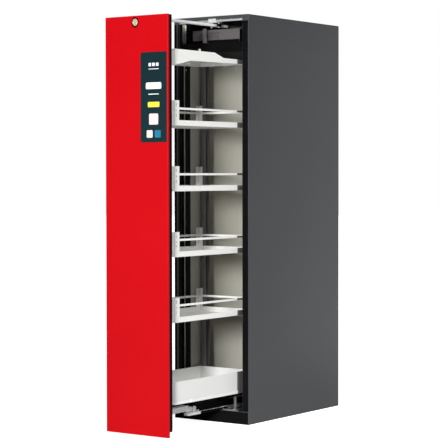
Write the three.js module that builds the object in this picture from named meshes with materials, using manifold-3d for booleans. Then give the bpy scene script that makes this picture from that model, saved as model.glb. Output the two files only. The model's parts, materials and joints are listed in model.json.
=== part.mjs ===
// Narrow fire-rated storage cabinet with one full-height pull-out, in millimetres, +Z up.
// The origin is the centre of the body's footprint on the floor; the pull-out opens towards -Y.
// The pull-out and the slides' middle members are drawn closed and stand in groups that are
// moved out by their travel, so the model as exported is the open cabinet.

import * as THREE from 'three';
import { mergeVertices } from 'three/addons/utils/BufferGeometryUtils.js';
import Module from 'manifold-3d';

const wasm = await Module();
wasm.setup();

// Driving dimensions of the body
const bodyWidth = 442;
const bodyDepth = 826;
const bodyHeight = 1966;
const bodySheet = 1.5;
const cornerRadius = 2;
const flangeWidth = 34;
const flangeReturn = 12;
const rebateDepth = 33.7;
const rearFlangeWidth = 22;
const topFlangeHeight = 18;
const sideBoardThickness = 63.7;
const backBoardThickness = 62;
const ductDepth = 60;
const plinthHeight = 60;
const plinthSheet = 3;
const ceilingThickness = 50;
const mechanismHeight = 126;

// Driving dimensions of the pull-out
const slideRearGap = 62.3;
const slideOverlap = 53;
const doorOverlap = 25.5;
const doorFloorGap = 9;
const doorHeadGap = 40.5;
const doorProjection = 34;
const doorSheet = 1.5;
const doorFoldDepth = 10.5;
const doorEdgeRadius = 3;
const doorSeatGap = 1.5;
const coreFloorGap = 34;
const linerThickness = 26;
const linerFootGap = 80;
const linerHeadGap = 6;
const pulloutSideGap = 5.5;
const pulloutRearGap = 8.7;
const postDepthFront = 34.7;
const postDepthRear = 30;

// Seats and clearances
const seat = 0.3;
const runningGap = 0.4;
const overrun = 5;

// Planes that everything else is placed from
const front = -bodyDepth / 2;
const back = bodyDepth / 2;
const halfWidth = bodyWidth / 2;
const insideSheet = halfWidth - bodySheet - seat;
const halfOpening = insideSheet - sideBoardThickness;
const halfDoor = halfOpening + doorOverlap;
const halfPullout = halfOpening - pulloutSideGap;
const flangeInside = halfWidth - flangeWidth;
const betweenFlanges = flangeInside - seat;
const boardFront = front + flangeReturn + seat;
const stepFront = boardFront + rebateDepth;
const backPanelRear = back - bodySheet - seat;
const backBoardRear = backPanelRear - bodySheet - seat;
const backBoardFront = backBoardRear - backBoardThickness;
const ductFront = backBoardFront - seat - ductDepth;
const ceilingTop = bodyHeight - mechanismHeight;
const ceilingBottom = ceilingTop - ceilingThickness;
const underTop = bodyHeight - bodySheet - seat;
const doorTop = bodyHeight - doorHeadGap;
const doorFront = front - doorProjection;
const foldRear = doorFront + doorFoldDepth;
const coreRear = front - doorSeatGap;
const linerFront = coreRear + seat;
const linerRear = linerFront + linerThickness;
const frontPostFront = linerRear + seat;
const trayFront = frontPostFront + postDepthFront + seat;
const rearPostFront = ductFront - pulloutRearGap - postDepthRear;
const trayRear = rearPostFront - seat;
const trayLength = trayRear - trayFront;
const slideLength = trayRear - slideRearGap - linerFront;
const travel = slideLength - slideOverlap;

const black = { color: 0x1c1d1f, roughness: 0.5, metalness: 0.1 };
const finishes = {
  bodyPaint: { color: 0x45484b, roughness: 0.45, metalness: 0.2 },
  board: { color: 0xb4b0a4, roughness: 0.7, metalness: 0 },
  boardCore: { color: 0x8d8a80, roughness: 0.9, metalness: 0 },
  seal: { color: 0x101113, roughness: 0.8, metalness: 0 },
  doorPaint: { color: 0xd8101c, roughness: 0.4, metalness: 0.1 },
  doorCore: black,
  trayPaint: { color: 0xeeeee8, roughness: 0.4, metalness: 0.1 },
  zinc: { color: 0xb8bcbe, roughness: 0.35, metalness: 0.8 },
  coverPaint: { color: 0x5d595a, roughness: 0.5, metalness: 0.3 },
  label: { color: 0x0d2a30, roughness: 0.3, metalness: 0 },
  brass: { color: 0xc0a468, roughness: 0.3, metalness: 0.9 },
  nylon: { color: 0xd9d9d4, roughness: 0.5, metalness: 0 },
};

function block([x0, y0, z0], [x1, y1, z1]) {
  const geometry = new THREE.BoxGeometry(x1 - x0, y1 - y0, z1 - z0);
  return geometry.translate((x0 + x1) / 2, (y0 + y1) / 2, (z0 + z1) / 2);
}

function outlineShape(points, holes = []) {
  const shape = new THREE.Shape(points.map(([u, v]) => new THREE.Vector2(u, v)));
  for (const hole of holes) {
    shape.holes.push(new THREE.Path(hole.map(([u, v]) => new THREE.Vector2(u, v))));
  }
  return shape;
}

// Outline in x and y, raised from one height to another.
function extrudeUp(shape, low, high) {
  const geometry = new THREE.ExtrudeGeometry(shape, { depth: high - low, bevelEnabled: false });
  return geometry.translate(0, 0, low);
}

// Outline in x and z, run along y.
function extrudeBack(shape, near, far) {
  const geometry = new THREE.ExtrudeGeometry(shape, { depth: far - near, bevelEnabled: false });
  return geometry.translate(0, 0, -far).rotateX(Math.PI / 2);
}

// Outline in y and z, run along x.
function extrudeAcross(shape, left, right) {
  const geometry = new THREE.ExtrudeGeometry(shape, { depth: right - left, bevelEnabled: false });
  const turn = new THREE.Matrix4().makeBasis(
    new THREE.Vector3(0, 1, 0), new THREE.Vector3(0, 0, 1), new THREE.Vector3(1, 0, 0));
  return geometry.translate(0, 0, left).applyMatrix4(turn);
}

function rodUp(x, y, radius, low, high, sides = 24) {
  const geometry = new THREE.CylinderGeometry(radius, radius, high - low, sides);
  return geometry.rotateX(Math.PI / 2).translate(x, y, (low + high) / 2);
}

function rodBack(x, z, radius, near, far, sides = 24) {
  const geometry = new THREE.CylinderGeometry(radius, radius, far - near, sides);
  return geometry.translate(x, (near + far) / 2, z);
}

function rodAcross(y, z, radius, left, right, sides = 24) {
  const geometry = new THREE.CylinderGeometry(radius, radius, right - left, sides);
  return geometry.rotateZ(Math.PI / 2).translate((left + right) / 2, y, z);
}

// A closed profile of radius and height, turned about an upright axis.
function turned(x, y, profile, sides = 28) {
  const points = [...profile, profile[0]].map(([r, z]) => new THREE.Vector2(r, z));
  return new THREE.LatheGeometry(points, sides).rotateX(Math.PI / 2).translate(x, y, 0);
}

function toSolid(geometry) {
  const bare = geometry.clone();
  bare.deleteAttribute('normal');
  bare.deleteAttribute('uv');
  const merged = mergeVertices(bare);
  return new wasm.Manifold(new wasm.Mesh({
    numProp: 3,
    vertProperties: Float32Array.from(merged.attributes.position.array),
    triVerts: Uint32Array.from(merged.index.array),
  }));
}

function toGeometry(solid) {
  const mesh = solid.getMesh();
  const geometry = new THREE.BufferGeometry();
  geometry.setAttribute('position', new THREE.BufferAttribute(mesh.vertProperties, 3));
  geometry.setIndex(new THREE.BufferAttribute(mesh.triVerts, 1));
  geometry.computeVertexNormals();
  return geometry;
}

function join(first, ...others) {
  return toGeometry(others.reduce((sum, other) => sum.add(toSolid(other)), toSolid(first)));
}

function cut(base, ...tools) {
  return toGeometry(tools.reduce((rest, tool) => rest.subtract(toSolid(tool)), toSolid(base)));
}

const cabinet = new THREE.Group();
const pullout = new THREE.Group();
const middleMembers = new THREE.Group();
pullout.position.y = -travel;
middleMembers.position.y = -travel / 2;
cabinet.add(pullout, middleMembers);

function addPiece(group, name, finish, geometry) {
  const mesh = new THREE.Mesh(geometry, new THREE.MeshStandardMaterial(finishes[finish]));
  mesh.name = name;
  group.add(mesh);
}

const sides = [['left', -1], ['right', 1]];

// Span on one side of the middle plane, lowest x first.
function span(side, inner, outer) {
  return side > 0 ? [inner, outer] : [-outer, -inner];
}

// Housing sheets
function sidePanel(side) {
  const shape = new THREE.Shape();
  const outer = halfWidth;
  const inner = halfWidth - bodySheet;
  const returnInside = flangeInside + bodySheet;
  shape.moveTo(flangeInside, front);
  shape.lineTo(outer - cornerRadius, front);
  shape.absarc(outer - cornerRadius, front + cornerRadius, cornerRadius, -Math.PI / 2, 0, false);
  shape.lineTo(outer, back);
  shape.lineTo(outer - rearFlangeWidth, back);
  shape.lineTo(outer - rearFlangeWidth, back - bodySheet);
  shape.lineTo(inner, back - bodySheet);
  shape.lineTo(inner, front + bodySheet);
  shape.lineTo(returnInside, front + bodySheet);
  shape.lineTo(returnInside, front + flangeReturn);
  shape.lineTo(flangeInside, front + flangeReturn);
  shape.closePath();
  const geometry = extrudeUp(outlineShape(
    shape.getPoints(3).map((point) => [side * point.x, point.y])), 0, bodyHeight);
  return geometry;
}

for (const [word, side] of sides) {
  addPiece(cabinet, `side_panel_${word}`, 'bodyPaint', sidePanel(side));
}

// Air spigots, on the top at the rear
const spigotRadius = 37.5;
const spigotWall = 2.5;
const spigotRise = 12;
const neckRadius = 25;
const neckWall = 3;
const spigotPlaceShare = 0.4502;
const spigotFromBackBoard = 30;
const spigotY = backBoardFront - spigotFromBackBoard;
const spigotFromMiddle = halfOpening * spigotPlaceShare;
const spigots = [['exhaust_spigot', -spigotFromMiddle], ['supply_spigot', spigotFromMiddle]];

function spigot(x) {
  const shoulder = bodyHeight + seat;
  const bore = neckRadius - neckWall;
  return turned(x, spigotY, [
    [bore, ceilingBottom + seat], [neckRadius, ceilingBottom + seat],
    [neckRadius, shoulder], [spigotRadius, shoulder],
    [spigotRadius, bodyHeight + spigotRise], [spigotRadius - spigotWall, bodyHeight + spigotRise],
    [spigotRadius - spigotWall, shoulder + spigotWall], [bore, shoulder + spigotWall],
  ]);
}

for (const [name, x] of spigots) addPiece(cabinet, name, 'nylon', spigot(x));

function spigotHoles(low, high) {
  return spigots.map(([, x]) => rodUp(x, spigotY, neckRadius + seat, low - overrun, high + overrun));
}

function topPanel() {
  const notched = outlineShape([
    [-insideSheet, boardFront], [-betweenFlanges, boardFront], [-betweenFlanges, front],
    [betweenFlanges, front], [betweenFlanges, boardFront], [insideSheet, boardFront],
    [insideSheet, backPanelRear], [-insideSheet, backPanelRear],
  ]);
  const plate = extrudeUp(notched, bodyHeight - bodySheet, bodyHeight);
  const lip = block([-betweenFlanges, front, bodyHeight - topFlangeHeight],
    [betweenFlanges, front + bodySheet, bodyHeight - bodySheet / 2]);
  return cut(join(plate, lip), ...spigotHoles(bodyHeight - bodySheet, bodyHeight));
}

addPiece(cabinet, 'top_panel', 'bodyPaint', topPanel());
addPiece(cabinet, 'back_panel', 'bodyPaint', block(
  [-insideSheet, backPanelRear - bodySheet, plinthHeight + seat], [insideSheet, backPanelRear, underTop]));

// Plinth with hollow runners at both sides, and the levelling feet inside them
const runnerInside = halfOpening + seat;
const footInset = 60;
const footPadRadius = 23;
const footPadHeight = 8;
const spindleRadius = 6;
const spindleTop = plinthHeight - seat;
const footClearance = 2;
const footX = (runnerInside + insideSheet) / 2;
const footPlaces = [[-footX, front + footInset], [footX, front + footInset],
  [-footX, back - footInset], [footX, back - footInset]];

function plinth() {
  const base = extrudeBack(outlineShape([
    [-insideSheet, 0], [insideSheet, 0], [insideSheet, plinthHeight], [runnerInside, plinthHeight],
    [runnerInside, plinthSheet], [-runnerInside, plinthSheet],
    [-runnerInside, plinthHeight], [-insideSheet, plinthHeight],
  ]), boardFront, backPanelRear);
  const toe = block([-betweenFlanges, front, 0], [betweenFlanges, boardFront + overrun, plinthSheet]);
  const fascia = block([-betweenFlanges, front, 0], [betweenFlanges, front + bodySheet, plinthHeight]);
  const runnerHollows = [-1, 1].map((side) => {
    const [x0, x1] = span(side, runnerInside + plinthSheet, insideSheet - plinthSheet);
    return block([x0, front + flangeReturn, plinthSheet], [x1, back, plinthHeight - plinthSheet]);
  });
  const footHoles = footPlaces.flatMap(([x, y]) => [
    rodUp(x, y, footPadRadius + footClearance, -overrun, plinthSheet + overrun),
    rodUp(x, y, spindleRadius + seat, plinthHeight - plinthSheet - overrun, plinthHeight + overrun),
  ]);
  return cut(join(base, toe, fascia), ...runnerHollows, ...footHoles);
}

addPiece(cabinet, 'base_plinth', 'bodyPaint', plinth());
footPlaces.forEach(([x, y], index) => {
  const pad = rodUp(x, y, footPadRadius, 0, footPadHeight);
  const spindle = rodUp(x, y, spindleRadius, footPadHeight / 2, spindleTop, 16);
  addPiece(cabinet, `levelling_foot_${index + 1}`, 'zinc', join(pad, spindle));
});

// Fire-resistant boards, with a rebate around the opening that is as wide as the flanges leave it
for (const [word, side] of sides) {
  addPiece(cabinet, `fire_board_${word}`, 'board', extrudeUp(outlineShape([
    [halfOpening, stepFront], [flangeInside, stepFront], [flangeInside, boardFront],
    [insideSheet, boardFront], [insideSheet, backBoardRear], [halfOpening, backBoardRear],
  ].map(([x, y]) => [side * x, y])), plinthHeight + seat, underTop));
}
const betweenBoards = halfOpening - seat;
addPiece(cabinet, 'fire_board_back', 'board', block(
  [-betweenBoards, backBoardFront, plinthHeight + seat], [betweenBoards, backBoardRear, underTop]));
addPiece(cabinet, 'fire_board_floor', 'boardCore', block(
  [-halfOpening, front + bodySheet + seat, plinthSheet + seat], [halfOpening, backPanelRear, plinthHeight]));
const ceilingRear = backBoardFront - seat;
addPiece(cabinet, 'fire_board_ceiling', 'board', cut(extrudeUp(outlineShape([
  [-betweenFlanges, boardFront], [betweenFlanges, boardFront], [betweenFlanges, stepFront - seat],
  [betweenBoards, stepFront - seat], [betweenBoards, ceilingRear], [-betweenBoards, ceilingRear],
  [-betweenBoards, stepFront - seat], [-betweenFlanges, stepFront - seat],
]), ceilingBottom, ceilingTop), ...spigotHoles(ceilingBottom, ceilingTop)));

// Seal strips on the two steps of the rebate, joined over its floor and under its ceiling
const sealThickness = 2;
const sealRear = stepFront - seat;
const sealLow = plinthHeight + seat;
const sealHigh = ceilingBottom - seat;
const sealFaces = [-1, 1].map((side) => {
  const [x0, x1] = span(side, halfOpening, betweenFlanges);
  return block([x0, sealRear - sealThickness, sealLow], [x1, sealRear, sealHigh]);
});
addPiece(cabinet, 'opening_seal', 'seal', join(
  block([-betweenFlanges, boardFront, sealLow], [betweenFlanges, sealRear, sealLow + sealThickness]),
  block([-betweenFlanges, boardFront, sealHigh - sealThickness], [betweenFlanges, sealRear, sealHigh]),
  ...sealFaces));

// Light strip behind the top flange
const stripHeight = 22;
const stripDrop = 10;
const stripThickness = 3;
const stripBottom = bodyHeight - topFlangeHeight - stripDrop;
const stripFront = front + bodySheet + seat;
addPiece(cabinet, 'top_strip', 'zinc', block(
  [seat - betweenFlanges, stripFront, stripBottom],
  [betweenFlanges - seat, stripFront + stripThickness, stripBottom + stripHeight]));

// Top guide: the rail on the door runs between two rollers under a bracket
const guideX = 10;
const guideRailWidth = 24;
const guideRailHeight = 12;
const guideRailSheet = 2.5;
const guideRailHeadGap = 5.7;
const guideRailOverhang = 0.9;
const rollerRadius = 9;
const rollerHeight = 15;
const rollerPinRadius = 3;
const rollerSetback = 25;
const pinHeadRadius = 5;
const pinHeadHeight = 3;
const bracketWidth = 44;
const bracketHeadGap = 12;
const bracketSheet = 3;
const bracketShelfMargin = 8;
const bracketDepth = 42;
const bracketShelfTop = stripBottom - seat;
const bracketShelfBottom = bracketShelfTop - bracketSheet;
const guideRailTop = bracketShelfBottom - guideRailHeadGap;
const guideRailBottom = guideRailTop - guideRailHeight;
const rollerMiddle = (guideRailTop + guideRailBottom) / 2;
const rollerLow = rollerMiddle - rollerHeight / 2;
const rollerHigh = rollerMiddle + rollerHeight / 2;
const rollerOffset = guideRailWidth / 2 + seat + rollerRadius;
const rollerY = front + rollerSetback;

function guideBracket() {
  const face = block([guideX - bracketWidth / 2, front - seat - bracketSheet, bracketShelfBottom],
    [guideX + bracketWidth / 2, front - seat, bodyHeight - bracketHeadGap]);
  const reach = rollerOffset + bracketShelfMargin;
  const shelf = block([guideX - reach, front - seat - bracketSheet, bracketShelfBottom],
    [guideX + reach, front + bracketDepth, bracketShelfTop]);
  const pins = [-1, 1].flatMap((side) => {
    const x = guideX + side * rollerOffset;
    return [rodUp(x, rollerY, rollerPinRadius, rollerLow - pinHeadHeight, bracketShelfTop - seat, 16),
      rodUp(x, rollerY, pinHeadRadius, rollerLow - seat - pinHeadHeight, rollerLow - seat, 16)];
  });
  return join(face, shelf, ...pins);
}

addPiece(cabinet, 'guide_bracket', 'zinc', guideBracket());
for (const [word, side] of sides) {
  const x = guideX + side * rollerOffset;
  addPiece(cabinet, `guide_roller_${word}`, 'doorCore', cut(
    rodUp(x, rollerY, rollerRadius, rollerLow, rollerHigh),
    rodUp(x, rollerY, rollerPinRadius + seat, rollerLow - overrun, rollerHigh + overrun, 16)));
}

// Louvred cover of the closing mechanism, and the spring drum behind it
const coverEndGap = 15.5;
const coverSetback = 45;
const coverHeadGap = 11.7;
const coverRoofDepth = 90;
const coverFootDepth = 15;
const coverSheet = 1.5;
const louvreInset = 42;
const louvreWidth = 117;
const louvrePitch = 11;
const louvreHeight = 5;
const louvreRise = 5;
const louvreTopMargin = 12;
const louvreFootMargin = 8;
const coverBottom = ceilingTop + seat;
const coverTop = guideRailBottom - coverHeadGap;
const coverFront = front + coverSetback;
const coverHalfWidth = halfOpening - coverEndGap;
const louvreLeft = louvreInset - coverHalfWidth;
const louvreRight = louvreLeft + louvreWidth;
const louvreCount = Math.floor((coverTop - coverBottom - louvreTopMargin - louvreFootMargin) / louvrePitch);

function mechanismCover() {
  const folded = extrudeAcross(outlineShape([
    [coverFront, coverBottom], [coverFront + coverFootDepth, coverBottom],
    [coverFront + coverFootDepth, coverBottom + coverSheet],
    [coverFront + coverSheet, coverBottom + coverSheet],
    [coverFront + coverSheet, coverTop - coverSheet],
    [coverFront + coverRoofDepth, coverTop - coverSheet],
    [coverFront + coverRoofDepth, coverTop], [coverFront, coverTop],
  ]), -coverHalfWidth, coverHalfWidth);
  const rows = Array.from({ length: louvreCount },
    (unused, row) => coverTop - louvreTopMargin - row * louvrePitch);
  const slots = rows.map((top) => block([louvreLeft, coverFront - overrun, top - louvreHeight],
    [louvreRight, coverFront + overrun, top]));
  const hoods = rows.map((top) => extrudeAcross(outlineShape([
    [coverFront + coverSheet / 2, top + coverSheet], [coverFront + coverSheet / 2, top],
    [coverFront - louvreRise + coverSheet, top - louvreHeight],
    [coverFront - louvreRise, top - louvreHeight],
  ]), louvreLeft, louvreRight));
  return join(cut(folded, ...slots), ...hoods);
}

addPiece(cabinet, 'mechanism_cover', 'coverPaint', mechanismCover());

const drumInset = 30;
const drumLength = 130;
const drumSetback = 46;
const drumHeadGap = 12.5;
const drumBaseThickness = 3;
const drumBaseMargin = 6;
const drumLeft = drumInset - coverHalfWidth;
const drumRight = drumLeft + drumLength;
const drumY = coverFront + drumSetback;
const drumSeat = ceilingTop + seat + drumBaseThickness;
const drumRadius = (coverTop - coverSheet - drumHeadGap - drumSeat) / 2;
addPiece(cabinet, 'closer_drum', 'zinc', join(
  rodAcross(drumY, drumSeat + drumRadius - drumBaseThickness / 2, drumRadius, drumLeft, drumRight, 28),
  block([drumLeft - drumBaseMargin, drumY - drumRadius - drumBaseMargin / 2, ceilingTop + seat],
    [drumRight + drumBaseMargin, drumY + drumRadius, drumSeat])));

// Lock: escutcheon and plug in the door, strike plate on the ceiling board
const lockX = -5;
const lockDrop = 30;
const plugRadius = 8.5;
const plugRise = 3.5;
const escutcheonRadius = 13;
const escutcheonThickness = 3;
const keySlotWidth = 1.6;
const keySlotHeight = 9;
const keySlotDepth = 6;
const camFootGap = 10.5;
const camTailLength = 8;
const camWidth = 14;
const camThickness = 3;
const strikeSetback = 14;
const strikeThickness = 3;
const strikeFootDepth = 26;
const strikeOffset = 30;
const strikeWidth = 22;
const strikeRise = 14.5;
const lockZ = doorTop - lockDrop;
const strikeFront = front + strikeSetback;
const camFront = strikeFront + strikeThickness + camThickness;
addPiece(cabinet, 'strike_plate', 'coverPaint', extrudeAcross(outlineShape([
  [strikeFront, ceilingTop + seat], [strikeFront + strikeFootDepth, ceilingTop + seat],
  [strikeFront + strikeFootDepth, ceilingTop + seat + strikeThickness],
  [strikeFront + strikeThickness, ceilingTop + seat + strikeThickness],
  [strikeFront + strikeThickness, lockZ + strikeRise], [strikeFront, lockZ + strikeRise],
]), lockX - strikeOffset - strikeWidth, lockX - strikeOffset));

function lockPlug() {
  const barrel = rodBack(lockX, lockZ, plugRadius, doorFront - seat - plugRise, camFront + camThickness / 2);
  const cam = block([lockX - camWidth / 2, camFront, ceilingTop + camFootGap],
    [lockX + camWidth / 2, camFront + camThickness, lockZ + camTailLength]);
  const keySlot = block(
    [lockX - keySlotWidth / 2, doorFront - plugRise - overrun, lockZ - keySlotHeight / 2],
    [lockX + keySlotWidth / 2, doorFront - plugRise + keySlotDepth, lockZ + keySlotHeight / 2]);
  return cut(join(barrel, cam), keySlot);
}

addPiece(pullout, 'lock_plug', 'brass', lockPlug());
addPiece(pullout, 'lock_escutcheon', 'doorCore', cut(
  rodBack(lockX, lockZ, escutcheonRadius, doorFront - seat - escutcheonThickness, doorFront - seat, 32),
  rodBack(lockX, lockZ, plugRadius + seat, doorFront - overrun - escutcheonThickness, doorFront + overrun)));

// Door: folded red skin, black core, light inner step, gasket and label plate
function doorSkin() {
  const inner = halfDoor - doorSheet;
  const innerFront = doorFront + doorSheet;
  const shape = new THREE.Shape();
  shape.moveTo(-halfDoor, foldRear);
  shape.lineTo(-halfDoor, doorFront + doorEdgeRadius);
  shape.absarc(doorEdgeRadius - halfDoor, doorFront + doorEdgeRadius, doorEdgeRadius,
    Math.PI, Math.PI * 3 / 2, false);
  shape.lineTo(halfDoor - doorEdgeRadius, doorFront);
  shape.absarc(halfDoor - doorEdgeRadius, doorFront + doorEdgeRadius, doorEdgeRadius,
    -Math.PI / 2, 0, false);
  shape.lineTo(halfDoor, foldRear);
  shape.lineTo(inner, foldRear);
  shape.lineTo(inner, innerFront);
  shape.lineTo(-inner, innerFront);
  shape.lineTo(-inner, foldRear);
  shape.closePath();
  const pan = extrudeUp(outlineShape(shape.getPoints(4).map((point) => [point.x, point.y])),
    doorFloorGap, doorTop);
  const foldHalf = halfDoor - doorSheet / 2;
  const foldFront = doorFront + doorSheet / 2;
  const lowFold = block([-foldHalf, foldFront, doorFloorGap],
    [foldHalf, foldRear, doorFloorGap + doorSheet]);
  const highFold = block([-foldHalf, foldFront, doorTop - doorSheet], [foldHalf, foldRear, doorTop]);
  return cut(join(pan, lowFold, highFold),
    rodBack(lockX, lockZ, plugRadius + seat, doorFront - overrun, doorFront + overrun));
}

addPiece(pullout, 'door_skin', 'doorPaint', doorSkin());
const coreHalf = halfDoor - doorSheet - seat;
addPiece(pullout, 'door_core', 'doorCore', cut(
  block([-coreHalf, doorFront + doorSheet + seat, coreFloorGap],
    [coreHalf, coreRear, doorTop - doorSheet - seat]),
  rodBack(lockX, lockZ, plugRadius + runningGap, doorFront, coreRear + overrun)));
addPiece(pullout, 'door_liner', 'board', block(
  [-halfPullout, linerFront, plinthHeight + linerFootGap],
  [halfPullout, linerRear, ceilingBottom - linerHeadGap]));

const gasketOpeningGap = 1.5;
const gasketWidth = 8;
const gasketHeadGap = 3;
const gasketFootDrop = 20;
const gasketFootHeight = 16;
const gasketFootDepth = 0.8;
const gasketFootClearance = 4;

function doorGasket() {
  const inner = halfOpening + gasketOpeningGap;
  const outer = inner + gasketWidth;
  const footLow = plinthHeight - gasketFootDrop;
  const low = plinthHeight + gasketFootClearance;
  const headLow = ceilingBottom + gasketHeadGap;
  const high = headLow + gasketWidth;
  const rear = boardFront - seat;
  const uprights = [-1, 1].map((side) => {
    const [x0, x1] = span(side, inner, outer);
    return block([x0, linerFront, low], [x1, rear, high]);
  });
  const tails = [-1, 1].map((side) => {
    const [x0, x1] = span(side, inner, outer);
    return block([x0, linerFront, footLow], [x1, linerFront + gasketFootDepth, low + overrun]);
  });
  const head = block([-outer, linerFront, headLow], [outer, rear, high]);
  const foot = block([-outer, linerFront, footLow],
    [outer, linerFront + gasketFootDepth, footLow + gasketFootHeight]);
  return join(head, ...uprights, ...tails, foot);
}

addPiece(pullout, 'door_gasket', 'seal', doorGasket());

const labelWidth = 150;
const labelHeight = 409;
const labelRightMargin = 5;
const labelDrop = 168.5;
const labelThickness = 1;
const labelCornerRadius = 8;

function labelPlate() {
  const x1 = halfDoor - labelRightMargin;
  const x0 = x1 - labelWidth;
  const z1 = doorTop - labelDrop;
  const z0 = z1 - labelHeight;
  const r = labelCornerRadius;
  const shape = new THREE.Shape();
  shape.absarc(x1 - r, z0 + r, r, -Math.PI / 2, 0, false);
  shape.absarc(x1 - r, z1 - r, r, 0, Math.PI / 2, false);
  shape.absarc(x0 + r, z1 - r, r, Math.PI / 2, Math.PI, false);
  shape.absarc(x0 + r, z0 + r, r, Math.PI, Math.PI * 3 / 2, false);
  shape.closePath();
  return extrudeBack(outlineShape(shape.getPoints(5).map((point) => [point.x, point.y])),
    doorFront - seat - labelThickness, doorFront - seat);
}

addPiece(pullout, 'label_plate', 'label', labelPlate());

// Guide rail that stands back from the top of the door, a channel open below
const guideFootDrop = 21;
const guideFootThickness = 5;
const guideRailSection = (inset, low) => outlineShape([
  [guideX - guideRailWidth / 2 + inset, low], [guideX + guideRailWidth / 2 - inset, low],
  [guideX + guideRailWidth / 2 - inset, guideRailTop - inset],
  [guideX - guideRailWidth / 2 + inset, guideRailTop - inset],
]);
addPiece(pullout, 'top_guide_rail', 'zinc', join(
  cut(extrudeBack(guideRailSection(0, guideRailBottom), linerFront, trayRear + guideRailOverhang),
    extrudeBack(guideRailSection(guideRailSheet, guideRailBottom - overrun),
      linerFront + guideFootThickness, trayRear + guideRailOverhang + overrun)),
  block([guideX - bracketWidth / 2, linerFront, guideRailTop - guideFootDrop],
    [guideX + bracketWidth / 2, linerFront + guideFootThickness, guideRailTop - bracketSheet])));

// Frame of the pull-out: posts, top carrier, chassis, sump
const postWidth = 34;
const postWall = 2;
const frontPostInset = 20;
const rearPostInset = 4;
const postFootGap = 85;
const postHeadDrop = 3;
const carrierHeadGap = 15;
const slotCount = 16;
const slotWidth = 6;
const slotHeight = 34;
const carrierTop = ceilingBottom - carrierHeadGap;
const postTop = carrierTop - postHeadDrop;
const postBottom = plinthHeight + postFootGap;

function post(side, outer, near, far) {
  const [x0, x1] = span(side, outer - postWidth, outer);
  const body = block([x0, near, postBottom], [x1, far, postTop]);
  const [h0, h1] = span(side, outer - postWidth - overrun, outer - postWall);
  const hollow = block([h0, near + postWall, postBottom - overrun], [h1, far - postWall, postTop + overrun]);
  const pitch = (postTop - postBottom) / slotCount;
  const middle = (near + far) / 2;
  const [s0, s1] = span(side, outer - postWall - overrun, outer + overrun);
  const slots = Array.from({ length: slotCount }, (unused, index) => {
    const z = postBottom + (index + 1 / 2) * pitch;
    return block([s0, middle - slotWidth / 2, z - slotHeight / 2],
      [s1, middle + slotWidth / 2, z + slotHeight / 2]);
  });
  return cut(body, hollow, ...slots);
}

for (const [word, side] of sides) {
  addPiece(pullout, `post_front_${word}`, 'zinc',
    post(side, halfPullout - frontPostInset, frontPostFront, frontPostFront + postDepthFront));
  addPiece(pullout, `post_rear_${word}`, 'zinc',
    post(side, halfPullout - rearPostInset, rearPostFront, rearPostFront + postDepthRear));
}

const carrierHeight = 48;
const carrierRearHeight = 20;
const carrierStepDrop = 22;
const gussetHeight = 74.5;
const gussetLength = 124;
const carrierStepShares = [0.519, 0.644];
const carrierSheet = 2;

function topCarrier() {
  const [stepStart, stepEnd] = carrierStepShares.map((share) => trayFront + share * trayLength);
  const rearTop = carrierTop - carrierStepDrop;
  const side = (inset, drop) => outlineShape([
    [trayFront + inset, carrierTop - gussetHeight - drop],
    [trayFront + gussetLength, carrierTop - carrierHeight - drop],
    [trayRear - inset, rearTop - carrierRearHeight - drop], [trayRear - inset, rearTop - inset],
    [stepEnd, rearTop - inset], [stepStart, carrierTop - inset], [trayFront + inset, carrierTop - inset],
  ]);
  const outside = extrudeAcross(side(0, 0), -halfPullout, halfPullout);
  const inside = extrudeAcross(side(carrierSheet, overrun),
    carrierSheet - halfPullout, halfPullout - carrierSheet);
  return cut(outside, inside);
}

addPiece(pullout, 'top_carrier', 'trayPaint', topCarrier());

const stopBlockLength = 32;
const stopBlockWidth = 20;
const stopBlockHeight = 10;
const stopBlockSetback = 174;
const stopBlockInset = 3;
addPiece(pullout, 'carrier_stop', 'nylon', block(
  [halfPullout - stopBlockInset - stopBlockWidth, trayFront + stopBlockSetback, carrierTop + seat],
  [halfPullout - stopBlockInset, trayFront + stopBlockSetback + stopBlockLength,
    carrierTop + seat + stopBlockHeight]));

const trayCount = 4;
const topTrayDrop = 349;
const lowestTrayGap = 272;
const traySheet = 1.5;
const trayLip = 25;
const trayEndHeight = 115;
const trayEndDepth = 33;
const endSlotWidth = 4;
const endSlotHeight = 14;
const endSlotPitch = 24;
const endSlotCount = 3;
const endSlotRise = 40;
const rearEarWidth = 18;
const guardRise = 73;
const guardHeight = 10;
const guardThickness = 3;

function tray(bottom) {
  const profile = outlineShape([
    [trayFront, bottom], [trayRear, bottom], [trayRear, bottom + trayEndHeight],
    [trayRear - trayEndDepth, bottom + trayEndHeight], [trayRear - trayEndDepth, bottom + trayLip],
    [trayFront + trayEndDepth, bottom + trayLip], [trayFront + trayEndDepth, bottom + trayEndHeight],
    [trayFront, bottom + trayEndHeight],
  ]);
  const outside = extrudeAcross(profile, -halfPullout, halfPullout);
  const inside = block([traySheet - halfPullout, trayFront + traySheet, bottom + traySheet],
    [halfPullout - traySheet, trayRear - traySheet, bottom + trayEndHeight + overrun]);
  const slots = [trayFront + trayEndDepth / 3, trayRear - trayEndDepth / 3].flatMap((y) =>
    Array.from({ length: endSlotCount }, (unused, index) => {
      const z = bottom + endSlotRise + index * endSlotPitch;
      return block([-halfPullout - overrun, y - endSlotWidth / 2, z],
        [halfPullout + overrun, y + endSlotWidth / 2, z + endSlotHeight]);
    }));
  const betweenEars = block([rearEarWidth - halfPullout, trayRear - trayEndDepth, bottom + trayLip],
    [halfPullout - rearEarWidth, trayRear + overrun, bottom + trayEndHeight + overrun]);
  return cut(outside, inside, betweenEars, ...slots);
}

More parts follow.
